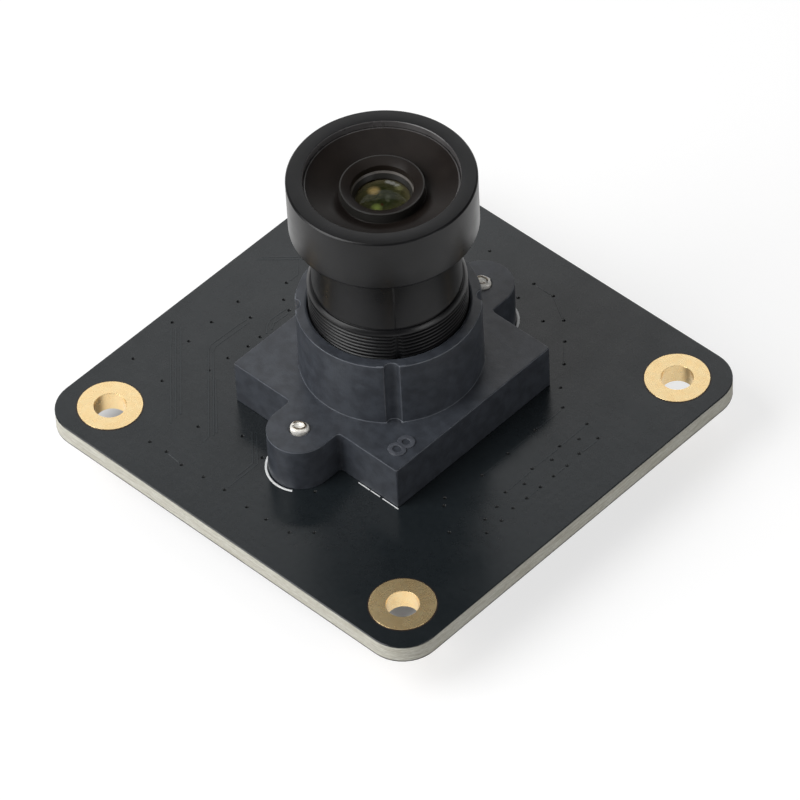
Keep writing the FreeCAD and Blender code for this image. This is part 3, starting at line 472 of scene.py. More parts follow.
def laminate():
    """Routed glass-fibre edge: pale, in thin layers, dark along its two faces."""
    look = Finish("laminate_edge", Roughness=0.75)
    height = look.axis("Z")
    fibre = look.noise(0.35, 4.0, 0.7, (1, 1, 5))
    stripe = look.noise(0.12, 2.0, 0.6, (0.06, 0.06, 1.4))
    base = look.ramp(fibre, ((0.3, tone(196, 193, 178)), (0.7, tone(238, 237, 228))))
    base = look.blend(look.span(stripe, 0.4, 0.65, 0, 0.45), base, tone(158, 150, 128))
    bottom = look.span(height, 0.10 * MM, 0.20 * MM, 1, 0)
    top = look.span(height, (BOARD_TOP - 0.14) * MM, (BOARD_TOP - 0.06) * MM, 0, 1)
    edge = look.maths("MAXIMUM", bottom, top)
    look.colour(look.blend(edge, base, tone(44, 46, 42)))
    look.roughness(fibre, 0.6, 0.85)
    look.bump(fibre, 0.02)
    look.bump(stripe, 0.012)
    return look.material


def coated_glass(name, tint, sheen):
    """Clear glass with a coloured anti-reflection coating."""
    look = Finish(
        name,
        Roughness=0.02,
        IOR=1.55,
        Transmission_Weight=1.0,
        Specular_IOR_Level=0.15,
        Specular_Tint=tone(*sheen),
    )
    clean = tone(*tint)
    dusty = tuple(min(1.0, c * 1.04) for c in clean)
    look.colour(look.ramp(look.noise(0.3, 4.0), ((0.3, clean), (0.7, dusty))))
    look.bump(look.noise(1.5, 1.0), 0.0004)
    return look.material


# Reflections in the front glass: place, radii of the full colour and of its end, colour
GHOSTS = (
    (-1.03, 0.11, 0.2, 0.58, (255, 222, 145)),
    (0.38, -1.06, 0.1, 0.5, (196, 218, 112)),
    (-0.94, 1.57, 0.12, 0.3, (255, 255, 245)),
    (-0.6, 1.68, 0.14, 0.3, (255, 255, 245)),
    (-0.2, 1.74, 0.12, 0.3, (255, 255, 240)),
    (0.15, 1.6, 0.05, 0.4, (216, 214, 150)),
    (0.23, 0.32, 0.0, 0.24, (140, 148, 120)),
    (0.52, 0.02, 0.0, 0.2, (140, 148, 120)),
    (0.47, -0.57, 0.0, 0.16, (110, 50, 30)),
)


def front_glass():
    """Front element: olive inside, paler towards its edge, with soft reflections of lamps."""
    look = Finish(
        "front_glass",
        Roughness=0.08,
        IOR=1.22,
        Transmission_Weight=0.72,
        Specular_IOR_Level=0.12,
    )
    radius = look.maths("SQRT", look.maths("ADD", look.square("X"), look.square("Y")), 0)
    dust = look.noise(0.3, 4.0)
    reach = look.span(radius, 0.6 * MM, 2.1 * MM, 0, 1)
    inner, middle, outer = tone(66, 74, 38), tone(100, 100, 60), tone(160, 152, 112)
    base = look.ramp(reach, ((0.1, inner), (0.55, middle), (0.95, outer)), True)
    for x, y, inside, outside, colour in GHOSTS:
        away = look.maths("ADD", look.square("X", x), look.square("Y", y))
        near = look.span(look.maths("SQRT", away, 0), inside * MM, outside * MM, 1, 0)
        base = look.blend(near, base, tone(*colour))
    look.colour(look.blend(look.span(dust, 0.45, 0.75, 0, 0.12), base, tone(190, 190, 170)))
    look.bump(look.noise(1.5, 1.0), 0.0004)
    return look.material


MASK = board_mask()
TRACK = track_mask()
LAMINATE = laminate()
OPENING = plastic("mask_opening", (36, 24, 18), (48, 33, 24), (0.4, 0.5), 0.06, 0.002, 0.5)
VIA = plastic("via_plug", (12, 14, 15), (18, 20, 21), (0.3, 0.4), 0.06, 0.002)
GOLD = metal(
    "gold_plating", (255, 222, 164), (255, 228, 174), (0.25, 0.29), 0.9, 0.0003, Metallic=0.8,
)
HOLDER = plastic("holder_plastic", (53, 56, 62), (66, 70, 77), (0.3, 0.42), 0.1, 0.008, 0.9)
# Painted highlight: the digit is the holder's own plastic, painted lighter as if its raised top
# caught the light.
DIGIT_HIGHLIGHT = plastic("digit_highlight_plastic", (70, 73, 80), (84, 87, 94), (0.34, 0.45), 0.1, 0.005, 1.0)
# Painted highlight: lighter plastic for the holder's upward-facing edge bevels.
HOLDER_EDGE_HIGHLIGHT = plastic("holder_edge", (84, 88, 95), (104, 108, 115), (0.3, 0.4), 0.1, 0.005, 1.4)
NOSE = plastic("nose_plastic", (39, 38, 36), (46, 45, 43), (0.3, 0.4), 0.07, 0.002, 2.0, IOR=1.36)
# Painted highlight: light grey for a thin ring deep in the black front ring, round the glass.
THROAT_HIGHLIGHT = plastic("ring_throat_highlight", (92, 88, 85), (108, 104, 100), (0.25, 0.35), 0.07, 0.002, 2.0)
# Painted highlight: light grey for the lip wall of the black barrel and front ring.
LIP_HIGHLIGHT = plastic("ring_edge_highlight", (72, 70, 70), (86, 84, 84), (0.25, 0.35), 0.07, 0.002, 2.0)
BARREL = plastic(
    "barrel_plastic", (14, 14, 15), (19, 19, 21), (0.27, 0.35), 0.07, 0.002, 2.5, IOR=1.36,
)
RING = plastic("ring_plastic", (27, 22, 20), (33, 28, 25), (0.3, 0.38), 0.07, 0.002, 2.0, IOR=1.28)
SPACER = plastic("spacer_black", (12, 12, 12), (18, 18, 18), (0.7, 0.85), 0.08, 0.004)
STEEL = metal(
    "screw_steel", (238, 234, 224), (255, 253, 247), (0.24, 0.36), 0.3, 0.03, Metallic=0.2,
)
SCREW_HOLLOW = metal(
    "screw_hollow", (120, 104, 86), (165, 150, 130), (0.3, 0.45), 0.2, 0.02, Metallic=0.4,
)
TIN = metal("tinned_lead", (190, 190, 186), (222, 222, 218), (0.24, 0.4), 0.14, 0.003)
EPOXY = plastic("chip_epoxy", (30, 30, 32), (38, 38, 41), (0.5, 0.66), 0.05, 0.003, 0.8)
CERAMIC = plastic("sensor_ceramic", (190, 184, 170), (210, 205, 192), (0.5, 0.65), 0.06, 0.002)
SILICON = plastic("sensor_silicon", (58, 74, 70), (96, 84, 112), (0.1, 0.2), 0.02, 0.0005, 0.6)
LID = metal("crystal_metal", (196, 194, 186), (216, 214, 206), (0.22, 0.34), 0.1, 0.002, (1, 8, 1))
FERRITE = plastic("ferrite_grey", (58, 58, 60), (78, 78, 81), (0.65, 0.85), 0.07, 0.01, 0.5)
TANTALUM = plastic("tantalum_yellow", (206, 158, 62), (224, 178, 82), (0.45, 0.6), 0.06, 0.003, 0.9)
CAPACITOR = plastic(
    "capacitor_ceramic", (150, 122, 92), (178, 148, 112), (0.35, 0.5), 0.06, 0.002, 0.5,
)
RESISTOR = plastic("resistor_film", (24, 25, 28), (34, 36, 40), (0.25, 0.4), 0.06, 0.002, 0.5)
NYLON = plastic("header_nylon", (216, 211, 196), (230, 226, 213), (0.38, 0.5), 0.08, 0.002, 1.2)
SILK = plastic("legend_ink", (222, 224, 224), (240, 241, 241), (0.5, 0.65), 0.07, 0.004, 0.5)
SOLDER = metal("solder", (176, 177, 176), (214, 215, 213), (0.2, 0.38), 0.12, 0.006)
FRONT_GLASS = front_glass()
GLASS = coated_glass("lens_glass", (226, 234, 196), (150, 190, 90))
AMBER_GLASS = coated_glass("inner_glass", (214, 214, 160), (240, 200, 90))
FILTER = coated_glass("filter_glass", (190, 226, 222), (230, 120, 150))


# Circuit board

VIA_R = 0.145
VIA_DEPTH = 0.12
VIAS = (
    (-14.1, 3.0), (-13.0, 1.55), (-11.9, 1.0), (-15.5, -0.9), (-13.6, -1.5), (-15.5, -3.8),
    (-11.6, -2.5), (-15.4, -6.4), (-11.6, -3.8), (-11.9, -5.7), (-12.1, -7.6), (-17.75, -5.8),
    (-17.3, -10.5), (-14.0, -10.7), (-8.6, -12.3), (-10.25, -15.8), (-8.6, -15.7), (-6.8, -15.9),
    (-4.7, -15.7), (-2.6, -15.6), (-0.15, -15.75), (1.8, -15.7), (4.0, -15.5), (5.4, -14.3),
    (-5.4, -10.8), (-2.75, -11.4), (2.6, -11.3), (10.7, 7.2), (13.2, 7.15), (13.8, 5.6),
    (14.8, 6.6), (13.2, 4.1), (14.8, 4.5), (13.7, 2.7), (14.95, 3.0), (13.2, 1.05), (14.9, 1.55),
    (13.8, -0.45), (14.9, 0.1), (13.3, -2.0), (14.9, -1.4), (13.8, -3.5), (14.8, -2.8),
    (14.0, -5.0), (15.0, -4.3), (15.0, -5.9), (10.7, 4.1), (10.8, 1.0), (10.85, -1.9),
    (10.3, -5.4), (10.8, -6.0), (12.9, -7.7), (-4.65, 15.8), (0.3, 15.4), (2.3, 15.4),
    (4.65, 14.0), (3.5, 12.9), (6.2, 12.4), (7.75, 10.6), (9.2, 8.6), (0.4, 13.5),
)

TRACE_WIDTH = 0.17
TRACES = (
    ((-17.4, -6.3), (-14.3, -9.5), (-10.4, -13.4)),
    ((-17.15, -6.05), (-14.1, -9.15), (-10.5, -12.8)),
    ((-16.9, -5.75), (-13.8, -8.9), (-10.5, -12.25)),
    (
        (-13.7, -1.9), (-13.8, -2.6), (-13.9, -5.6), (-13.6, -6.1), (-12.35, -7.4),
        (-7.3, -12.5), (-7.2, -13.2),
    ),
    ((-13.35, -1.9), (-13.4, -2.75), (-13.5, -5.5), (-13.25, -5.95), (-11.9, -7.3), (-7.1, -12.2)),
    ((-11.0, -8.0), (-7.1, -11.85)),
    ((-12.2, 1.0), (-12.3, -0.7), (-12.05, -1.3), (-11.5, -1.9)),
    ((-11.75, 0.7), (-11.85, -0.75), (-11.5, -1.35)),
    ((-17.6, 3.3), (-14.9, 5.7), (-12.2, 8.1)),
    ((-17.55, 3.65), (-15.0, 5.95), (-12.4, 8.3)),
    ((-5.2, -10.0), (-2.9, -12.3), (-2.9, -14.0)),
    ((-4.9, -9.8), (-2.6, -12.1), (-2.6, -15.3)),
    ((10.75, 6.9), (10.75, 4.4)), ((10.8, 3.8), (10.8, 1.3)), ((10.85, 0.7), (10.85, -1.6)),
    ((13.2, 6.85), (13.2, 4.4)), ((13.25, 3.8), (13.2, 1.35)), ((13.25, 0.75), (13.3, -1.7)),
    ((14.9, 6.4), (14.85, 4.8)), ((14.9, 2.7), (14.9, 1.85)), ((14.9, -0.2), (14.9, -1.1)),
    ((0.6, 15.4), (2.0, 15.4)), ((2.55, 15.25), (4.45, 14.1)), ((6.4, 12.2), (7.55, 10.8)),
    ((-14.9, 5.0), (-14.1, 4.2), (-14.1, 3.3)),
    ((4.2, -15.3), (5.2, -14.5)), ((-8.3, -15.7), (-7.1, -15.85)),
)


def rounded_square(half, corner):
    """Outline of a square round the origin."""
    points = []
    reach = half - corner
    for k, (x, y) in enumerate(((1, 1), (-1, 1), (-1, -1), (1, -1))):
        points += arc((reach * x, reach * y), corner, 90 * k, 90 * (k + 1), 10)
    return points


def loop_of(bm, points, z):
    """A closed loop of vertices and edges at a height."""
    verts = [bm.verts.new((x, y, z)) for x, y in points]
    edges = [bm.edges.new((verts[k], verts[(k + 1) % len(verts)])) for k in range(len(verts))]
    return verts, edges


def wall(bm, first, second, index):
    """Faces between two loops of vertices."""
    for k in range(len(first)):
        other = (k + 1) % len(first)
        bm.faces.new((first[k], first[other], second[other], second[k])).material_index = index


def make_board():
    """Laminate with masked faces, drilled holes and dimples where the vias are tented."""
    bm = bmesh.new()
    bevel = 0.05
    screws = [(0, sy * SCREW_PLACE) for sy in (1, -1)]
    holes = [(c, LAMINATE_HOLE, 48) for c in HOLES] + [(c, SCREW_HOLE, 32) for c in screws]
    clear = [(c, RING_R + 0.2) for c in HOLES] + [(c, SCREW_HOLE + 0.9) for c in screws]
    vias = [v for v in VIAS if all((Vector(v) - Vector(c)).length > r for c, r in clear)]
    rings = {}
    for z, face_bevel in ((BOARD_TOP, -bevel), (0.0, bevel)):
        edges = []
        verts, found = loop_of(bm, rounded_square(BOARD_HALF - bevel, CORNER_R - bevel), z)
        rings["out", z] = verts
        edges += found
        for k, (centre, radius, count) in enumerate(holes):
            verts, found = loop_of(bm, circle(centre, radius, count), z)
            rings[k, z] = verts
            edges += found
        depth = VIA_DEPTH if z == 0 else -VIA_DEPTH
        for centre in vias:
            verts, found = loop_of(bm, circle(centre, VIA_R, 12), z)
            edges += found
            for share, drop in ((0.8, 0.35), (0.45, 1.0)):
                inner = circle(centre, VIA_R * share, 12)
                deeper = [bm.verts.new((x, y, z + depth * drop)) for x, y in inner]
                wall(bm, verts, deeper, 2)
                verts = deeper
            bm.faces.new(verts).material_index = 2
        bmesh.ops.triangle_fill(bm, edges=edges, use_beauty=True)
        verts = loop_of(bm, rounded_square(BOARD_HALF, CORNER_R), z + face_bevel)[0]
        rings["side", z] = verts
        wall(bm, rings["out", z], verts, 0)
    wall(bm, rings["side", BOARD_TOP], rings["side", 0.0], 1)
    for k in range(len(holes)):
        wall(bm, rings[k, BOARD_TOP], rings[k, 0.0], 1)
    bmesh.ops.recalc_face_normals(bm, faces=bm.faces)
    piece = finish_piece("board_laminate", bm, "board", [MASK, LAMINATE, VIA], 0.5)
    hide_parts("circuit_board")


def make_traces():
    """Copper tracks that stand out faintly under the mask on the front."""
    bm = bmesh.new()
    for line in TRACES:
        ribbon(bm, line, TRACE_WIDTH, BOARD_TOP - 0.01, BOARD_TOP + 0.016)
    bmesh.ops.recalc_face_normals(bm, faces=bm.faces)
    finish_piece("board_tracks", bm, "board", [TRACK], 0.3)


def make_platings():
    """Gold sleeves through the corner holes, with a flat ring on each face of the board."""
    lower, upper = -RING_HEIGHT, BOARD_TOP + RING_HEIGHT
    sleeve_r = LAMINATE_HOLE - 0.002
    outline = [
        (SLEEVE_BORE, lower, 0.02),
        (RING_R, lower, 0.018),
        (RING_R, 0.0, 0),
        (sleeve_r, 0.0, 0),
        (sleeve_r, BOARD_TOP, 0),
        (RING_R, BOARD_TOP, 0),
        (RING_R, upper, 0.018),
        (SLEEVE_BORE, upper, 0.02),
    ]
    bm = bmesh.new()
    for x, y in HOLES:
        before = len(bm.verts)
        turned(bm, softened(outline), 72)
        bm.verts.ensure_lookup_table()
        bmesh.ops.translate(bm, vec=(x, y, 0), verts=bm.verts[before:])
    bmesh.ops.recalc_face_normals(bm, faces=bm.faces)
    piece = finish_piece("gold_sleeves", bm, "board", [GOLD], 0.12)
    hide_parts("hole_platings")


def ring_band(bm, centre, inner, outer, low, high):
    """A flat ring with square edges."""
    rows = []
    for radius, z in ((inner, low), (outer, low), (outer, high), (inner, high)):
        rows.append([bm.verts.new((x, y, z)) for x, y in circle(centre, radius, 64)])
    for a, b in zip(rows, rows[1:] + rows[:1]):
        wall(bm, a, b, 0)


def make_legend():
    """White lines printed beside the holder, and the brown gaps round the gold rings."""
    bm = bmesh.new()
    low, high = BOARD_TOP - 0.01, BOARD_TOP + 0.018
    for side in (-1, 1):
        start = 196 if side < 0 else 16
        ribbon(bm, arc((0, side * SCREW_PLACE), 2.69, start, start + 102, 28), 0.2, low, high)
    for x0, x1 in ((4.4, 5.55), (5.65, 6.6), (6.85, 8.46)):
        ribbon(bm, ((x0, -8.49), (x1, -8.49)), 0.1, low, high)
    bmesh.ops.recalc_face_normals(bm, faces=bm.faces)
    finish_piece("board_legend", bm, "board", [SILK], 0.3)

    bm = bmesh.new()
    for centre in HOLES:
        for z, lift in ((BOARD_TOP - 0.006, 0.012), (0.006, -0.012)):
            ring_band(bm, centre, RING_R - 0.03, RING_R + 0.1, z, z + lift)
    bmesh.ops.recalc_face_normals(bm, faces=bm.faces)
    finish_piece("mask_openings", bm, "board", [OPENING], 0.5)


SUNK = 0.01
PRINT_HEIGHT = 0.018
FRAME_WIDTH = 0.15
SOLDER_HEIGHT = 0.03
CHIP_PAD = 0.22


def box_slab(bm, low, high, margin, height):
    """A pad with round corners on the board's back, a margin wider than a box."""
    x0, y0, x1, y1 = low.x - margin, low.y - margin, high.x + margin, high.y + margin
    cut = min(x1 - x0, y1 - y0) * 0.2
    outline = softened([(x0, y0, cut), (x1, y0, cut), (x1, y1, cut), (x0, y1, cut)], 2)
    slab(bm, outline, 0.008, -height, 0.02)


def frame_line(bm, low, high, gap, cut):
    """A printed outline round a part on the back, open in the middle of its sides."""
    x0, y0, x1, y1 = low.x - gap, low.y - gap, high.x + gap, high.y + gap
    dx, dy = (x1 - x0) * (0.5 - cut), (y1 - y0) * (0.5 - cut)
    for x, sx in ((x0, 1), (x1, -1)):
        for y, sy in ((y0, 1), (y1, -1)):
            corner = ((x + dx * sx, y), (x, y), (x, y + dy * sy))
            ribbon(bm, corner, FRAME_WIDTH, SUNK, -PRINT_HEIGHT)


def solder_pads(bm):
    """Solder under the leads and at the ends of the chips and capacitors."""
    grown = (
        ("processor_leads", 0.05),
        ("flash_leads", 0.08),
        ("regulator_leads", 0.08),
        ("header_contacts", 0.1),
        ("header_tabs", 0.15),
        ("inductor_terminals", 0.15),
    )
    for node, margin in grown:
        for low, high in islands(node):
            box_slab(bm, low, high, margin, SOLDER_HEIGHT)
    for node in ("ceramic_capacitors", "chip_resistors"):
        for low, high in islands(node):
            along = 0 if high.x - low.x > high.y - low.y else 1
            reach = (high[along] - low[along]) * CHIP_PAD
            inner = high.copy()
            inner[along] = low[along] + reach
            box_slab(bm, low, inner, 0.13, SOLDER_HEIGHT)
            inner = low.copy()
            inner[along] = high[along] - reach
            box_slab(bm, inner, high, 0.13, SOLDER_HEIGHT)
    for low, high in islands("tantalum_capacitors"):
        for a, b in ((low.x - 0.45, low.x + 0.6), (high.x - 0.6, high.x + 0.45)):
            y = (low.y + high.y) / 2
            box_slab(bm, Vector((a, y - 1.1, 0)), Vector((b, y + 1.1, 0)), 0.0, 0.05)


def make_back_print():
    """Outlines and solder on the back, placed from the solids they belong to."""
    bm = bmesh.new()
    for node, gap, cut in (
        ("main_processor", 0.35, 0.36),
        ("flash_memory", 0.3, 0.3),
        ("power_inductor", 0.3, 0.1),
        ("crystal", 0.35, 0.1),
        ("usb_header", 0.3, 0.12),
    ):
        low, high = low_high(node)
        high.y = min(high.y, BOARD_HALF - 0.5)
        frame_line(bm, low, high, gap, cut)
    for node in ("voltage_regulators", "tantalum_capacitors"):
        for low, high in islands(node):
            frame_line(bm, low, high, 0.3, 0.15)
    low, high = low_high("main_processor")
    slab(bm, circle((low.x - 1.5, high.y + 1.5), 0.16, 16), SUNK, -PRINT_HEIGHT)
    bmesh.ops.recalc_face_normals(bm, faces=bm.faces)
    finish_piece("back_legend", bm, "board", [SILK], 0.3)

    bm = bmesh.new()
    solder_pads(bm)
    bmesh.ops.recalc_face_normals(bm, faces=bm.faces)
    finish_piece("back_solder", bm, "board", [SOLDER], 0.5)


# Lens holder and its screws

DIGIT_SIZE = 3.2
DIGIT_PLACE = (6.93, -6.42)


def make_holder():
    """The holder with painted highlights on its upward-facing edges, and the plain raised digit on
    its block.
    """
    dressed("lens_holder", "board", HOLDER, 0.1, HOLDER_EDGE_HIGHLIGHT, clamp=False)
    text = bpy.data.curves.new("cavity_digit", "FONT")
    text.body = "8"
    text.size = DIGIT_SIZE
    text.extrude = 0.05
    text.bevel_depth = 0.025
    text.bevel_resolution = 1
    text.resolution_u = 4
    text.align_x = "CENTER"
    text.align_y = "CENTER"
    shape = bpy.data.objects.new("cavity_digit", text)
    bpy.context.scene.collection.objects.link(shape)
    bpy.context.view_layer.update()
    mesh = bpy.data.meshes.new_from_object(shape)
    bpy.data.objects.remove(shape)
    bm = bmesh.new()
    bm.from_mesh(mesh)
    bmesh.ops.remove_doubles(bm, verts=bm.verts, dist=WELD)
    bmesh.ops.translate(bm, vec=(*DIGIT_PLACE, BLOCK_TOP + 0.02), verts=bm.verts)
    # The raised digit takes the lighter plastic as a painted highlight.
    finish_piece("mould_digit", bm, "board", [DIGIT_HIGHLIGHT], 0.9)


# Lens

RING_SEAT = LENS_TOP - 2.6
FRONT_SEAT = LENS_TOP - 4.45
MIDDLE_SEAT = LENS_TOP - 9.6
REAR_SEAT = MIDDLE_SEAT - 2.0
LIP_R = 5.79
PITCH = 0.35
CREST = 5.975
ROOT = 5.76
NECK_R = 5.6
RUN_OUT = THREAD_HIGH - 0.3
PARTING = math.radians(-40.4)
FLAT_HEIGHT = 0.45
LENS_STEPS = 180

# Places within one turn of the thread's section, with the share of its height there
THREAD_PHASES = ((0.0, 0.0), (0.16, 0.0), (0.42, 0.9), (0.50, 1.0), (0.70, 1.0), (0.80, 0.9))


def thread_height(angle, z, share):
    """Radius of the thread at a place: full at its upper end, cut low along the mould's joint."""
    start = min(1, max(0, (z - THREAD_LOW) / 0.3))
    land = min(1, max(0, (z - RUN_OUT + 0.22) / 0.08))
    off = abs((angle - PARTING + math.pi / 2) % math.pi - math.pi / 2)
    flat = max(land, min(1, max(0, (off - math.radians(2.6)) / math.radians(1.2))))
    height = (share + (1 - share) * land) * flat + FLAT_HEIGHT * (1 - flat)
    return ROOT + (CREST - ROOT) * height * start


def make_thread(bm, segments):
    """Helical rows between two rings, clamped to them, so that the ends close."""
    phases = len(THREAD_PHASES)
    turns = int(math.ceil((RUN_OUT - THREAD_LOW) / PITCH)) + 1
    rows = (turns + 1) * phases
    grid = []
    for i in range(segments):
        angle = TURN * i / segments
        column = []
        for j in range(rows + phases):
            phase, share = THREAD_PHASES[j % phases]
            z = THREAD_LOW + PITCH * (j // phases - 1 + phase + i / segments)
            z = min(max(z, THREAD_LOW), RUN_OUT)
            radius = thread_height(angle, z, share)
            column.append(bm.verts.new((radius * math.cos(angle), radius * math.sin(angle), z)))
        grid.append(column)
    for i in range(segments):
        here = grid[i]
        if i + 1 < segments:
            there = grid[i + 1][:rows + 1]
        else:
            there = grid[0][phases:]
        for j in range(min(len(here), len(there)) - 1):
            bm.faces.new((here[j], there[j], there[j + 1], here[j + 1]))


def make_barrel():
    """The lens shell turned in one piece with its thread, and the mould's parting lines on it."""
    outline = [
        (4.2, LENS_LOW, 0.1),
        (5.5, LENS_LOW, 0.15),
        (5.5, THREAD_LOW - 0.15, 0.1),
        (ROOT, THREAD_LOW, 0),
        (CREST, RUN_OUT, 0),
        (CREST - 0.24, THREAD_HIGH - 0.03, 0.04),
        (NECK_R, THREAD_HIGH - 0.03, 0.03),
        (NECK_R, HEAD_LOW + 0.02, 0.14),
        (6.75, HEAD_LOW + 0.02, 0.1),
        (HEAD_R, HEAD_LOW + 0.28, 0.25),
        (HEAD_R, LENS_TOP - 0.12, 0.08),
        (HEAD_R - 0.12, LENS_TOP, 0.08),
        (LIP_R + 0.06, LENS_TOP, 0.04),
        (LIP_R, LENS_TOP - 0.06, 0.03),
        (LIP_R, LENS_TOP - 0.57, 0),
        (LIP_R, RING_SEAT, 0),
        (4.6, RING_SEAT, 0.03),
        (4.6, FRONT_SEAT, 0),
        (3.5, FRONT_SEAT, 0.03),
        (3.5, MIDDLE_SEAT, 0),
        (2.6, MIDDLE_SEAT, 0.03),
        (2.6, REAR_SEAT, 0.03),
        (4.2, REAR_SEAT, 0),
    ]
    profile = softened(outline)
    foot = Vector((ROOT, THREAD_LOW))
    marked = [k for k, point in enumerate(profile) if (point - foot).length < 1e-6]
    bm = bmesh.new()
    turned(bm, profile, LENS_STEPS, open_after=marked[0])
    make_thread(bm, LENS_STEPS)
    tidy_mesh(bm)
    # Painted highlight: faces of the lip wall inside the head take the light grey lip material.
    for face in bm.faces:
        middle = face.calc_center_median()
        radius, drop = math.hypot(middle.x, middle.y), LENS_TOP - middle.z
        if abs(radius - LIP_R) < 0.08 and 0.02 < drop < 0.6:
            face.material_index = 1
    piece = finish_piece("barrel_shell", bm, "lens_shell", [BARREL, LIP_HIGHLIGHT], 0.8)
    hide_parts("lens_barrel")

    bm = bmesh.new()
    for a in (PARTING, PARTING + math.pi):
        out = Vector((math.cos(a), math.sin(a), 0))
        along = Vector((-math.sin(a), math.cos(a), 0))
        for radius, low, high, width in (
            (NECK_R - 0.015, THREAD_HIGH - 0.1, HEAD_LOW + 0.1, 0.15),
            (ROOT + 0.09, THREAD_LOW + 0.3, RUN_OUT + 0.05, 0.12),
        ):
            foot = Vector((0, 0, low))
            ridge = ((-width / 2, 0), (-width / 4, 0.035), (width / 4, 0.035), (width / 2, 0))
            lower = [bm.verts.new(out * (radius + h) + along * x + foot) for x, h in ridge]
            upper = [bm.verts.new(v.co + Vector((0, 0, high - low))) for v in lower]
            wall(bm, lower, upper, 0)
            bm.faces.new(lower)
            bm.faces.new(upper[::-1])
    bmesh.ops.recalc_face_normals(bm, faces=bm.faces)
    finish_piece("barrel_parting_lines", bm, "lens_shell", [BARREL], 0.9)


def make_front_ring():
    """The cone and nose in front of the glass, with painted highlights on the lip wall and round
    the glass.
    """
    outline = [
        (5.74, RING_SEAT, 0.05),
        (5.74, LENS_TOP - 0.55, 0.03),
        (5.62, LENS_TOP - 0.55, 0.05),
        (3.15, LENS_TOP - 1.75, 0.05),
        (3.15, LENS_TOP - 0.85, 0.055),
        (3.03, LENS_TOP - 0.85, 0.055),
        (2.32, LENS_TOP - 1.16, 0.05),
        (2.32, LENS_TOP - 1.69, 0.05),
        (2.23, LENS_TOP - 1.85, 0),
        (2.03, LENS_TOP - 2.2, 0.03),
        (2.03, LENS_TOP - 2.3, 0.02),
        (3.1, RING_SEAT, 0),
    ]
    bm = bmesh.new()
    turned(bm, softened(outline), 144)
    tidy_mesh(bm)
    for face in bm.faces:
        middle = face.calc_center_median()
        radius, drop = math.hypot(middle.x, middle.y), LENS_TOP - middle.z
        nose_wall = abs(radius - 3.15) < 0.04 and 0.9 < drop < 1.7
        nose_rim = radius < 3.2 and drop < 0.875
        throat_cone = 2.03 < radius < 2.24 and 1.7 < drop < 2.19
        # Painted highlights: index 2 is a light ring round the glass, index 3 the light lip wall.
        if 2.22 < radius < 2.33 and drop > 1.66:
            face.material_index = 2
        elif radius > 5.6 and drop < 0.57:
            face.material_index = 3
        elif nose_wall or nose_rim or throat_cone:
            face.material_index = 1
    looks = [RING, NOSE, THROAT_HIGHLIGHT, LIP_HIGHLIGHT]
    piece = finish_piece("front_ring_shell", bm, "lens_shell", looks, 0.9)
    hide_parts("front_ring")


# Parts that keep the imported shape, with rounded edges or only a material

# Node, material, radius of its edges, slot
ROUNDED = (
    ("holder_screws", STEEL, 0.04, "screw_steel"),
    ("main_processor", EPOXY, 0.05, "chip_epoxy"),
    ("flash_memory", EPOXY, 0.05, "chip_epoxy"),
    ("voltage_regulators", EPOXY, 0.04, "chip_epoxy"),
    ("processor_leads", TIN, 0.025, "tinned_lead"),
    ("flash_leads", TIN, 0.03, "tinned_lead"),
    ("regulator_leads", TIN, 0.03, "tinned_lead"),
    ("power_inductor", FERRITE, 0.14, "ferrite_grey"),
    ("inductor_terminals", TIN, 0.015, "tinned_lead"),
    ("tantalum_capacitors", TANTALUM, 0.08, "tantalum_yellow"),
    ("usb_header", NYLON, 0.06, "header_nylon"),
    ("header_contacts", TIN, 0.05, "tinned_lead"),
    ("header_tabs", TIN, 0.05, "tinned_lead"),
)

# Nodes whose bevels would come out too small if they were limited to their shortest edge
UNLIMITED = ("main_processor", "flash_memory", "voltage_regulators", "tantalum_capacitors")

PLAIN = (
    ("ir_cut_filter", FILTER),
    ("sensor_package", CERAMIC),
    ("sensor_die", SILICON),
    ("sensor_cover_glass", FILTER),
    ("front_element", FRONT_GLASS),
    ("second_element", AMBER_GLASS),
    ("lens_spacer", SPACER),
    ("aperture_stop", SPACER),
    ("third_element", GLASS),
    ("rear_element", AMBER_GLASS),
    ("rear_retainer", BARREL),
)


def dressed_chips(node, core, share):
    """Chip parts: the middle takes the core's material and a share at both ends is tinned."""
    piece = dressed(node, "board", core, 0.035)
    piece.data.materials.append(TIN)
    boxes = islands(node)
    margin = 0.05
    for polygon in piece.data.polygons:
        middle = polygon.center / MM
        for low, high in boxes:
            if all(low[k] - margin < middle[k] < high[k] + margin for k in range(3)):
                along = 0 if high.x - low.x > high.y - low.y else 1
                size = high[along] - low[along]
                place = (middle[along] - low[along]) / size
                if place < share or place > 1 - share:
                    polygon.material_index = 1
                break


def break_screw_tips(piece):
    """Leaves a hollow with an uneven rim on the ends of the screws."""
    piece.data.materials.append(SCREW_HOLLOW)
    bm = bmesh.new()
    bm.from_mesh(piece.data)
    tip_base, tip_end = (BLOCK_TOP + 0.02) * MM, (BLOCK_TOP + 0.2) * MM
    for tip in [f for f in bm.faces if f.normal.z > 0.99 and f.calc_center_median().z > tip_end]:
        middle = tip.calc_center_median()
        bmesh.ops.inset_region(bm, faces=[tip], thickness=0.16 * MM)
        bmesh.ops.inset_region(bm, faces=[tip], thickness=0.12 * MM, depth=-0.1 * MM)
        tip.material_index = 1
        for vert in bm.verts:
            out = Vector((vert.co.x - middle.x, vert.co.y - middle.y))
            if out.length < MM and vert.co.z > tip_base:
                turn = math.atan2(out.y, out.x)
                size = 0.93 + 0.05 * math.sin(2 * turn + 0.6)
                size += 0.045 * math.sin(3 * turn + middle.y)
                vert.co.x = middle.x + out.x * size
                vert.co.y = middle.y + out.y * size
    bm.to_mesh(piece.data)
    bm.free()


LID_TOP = -0.36


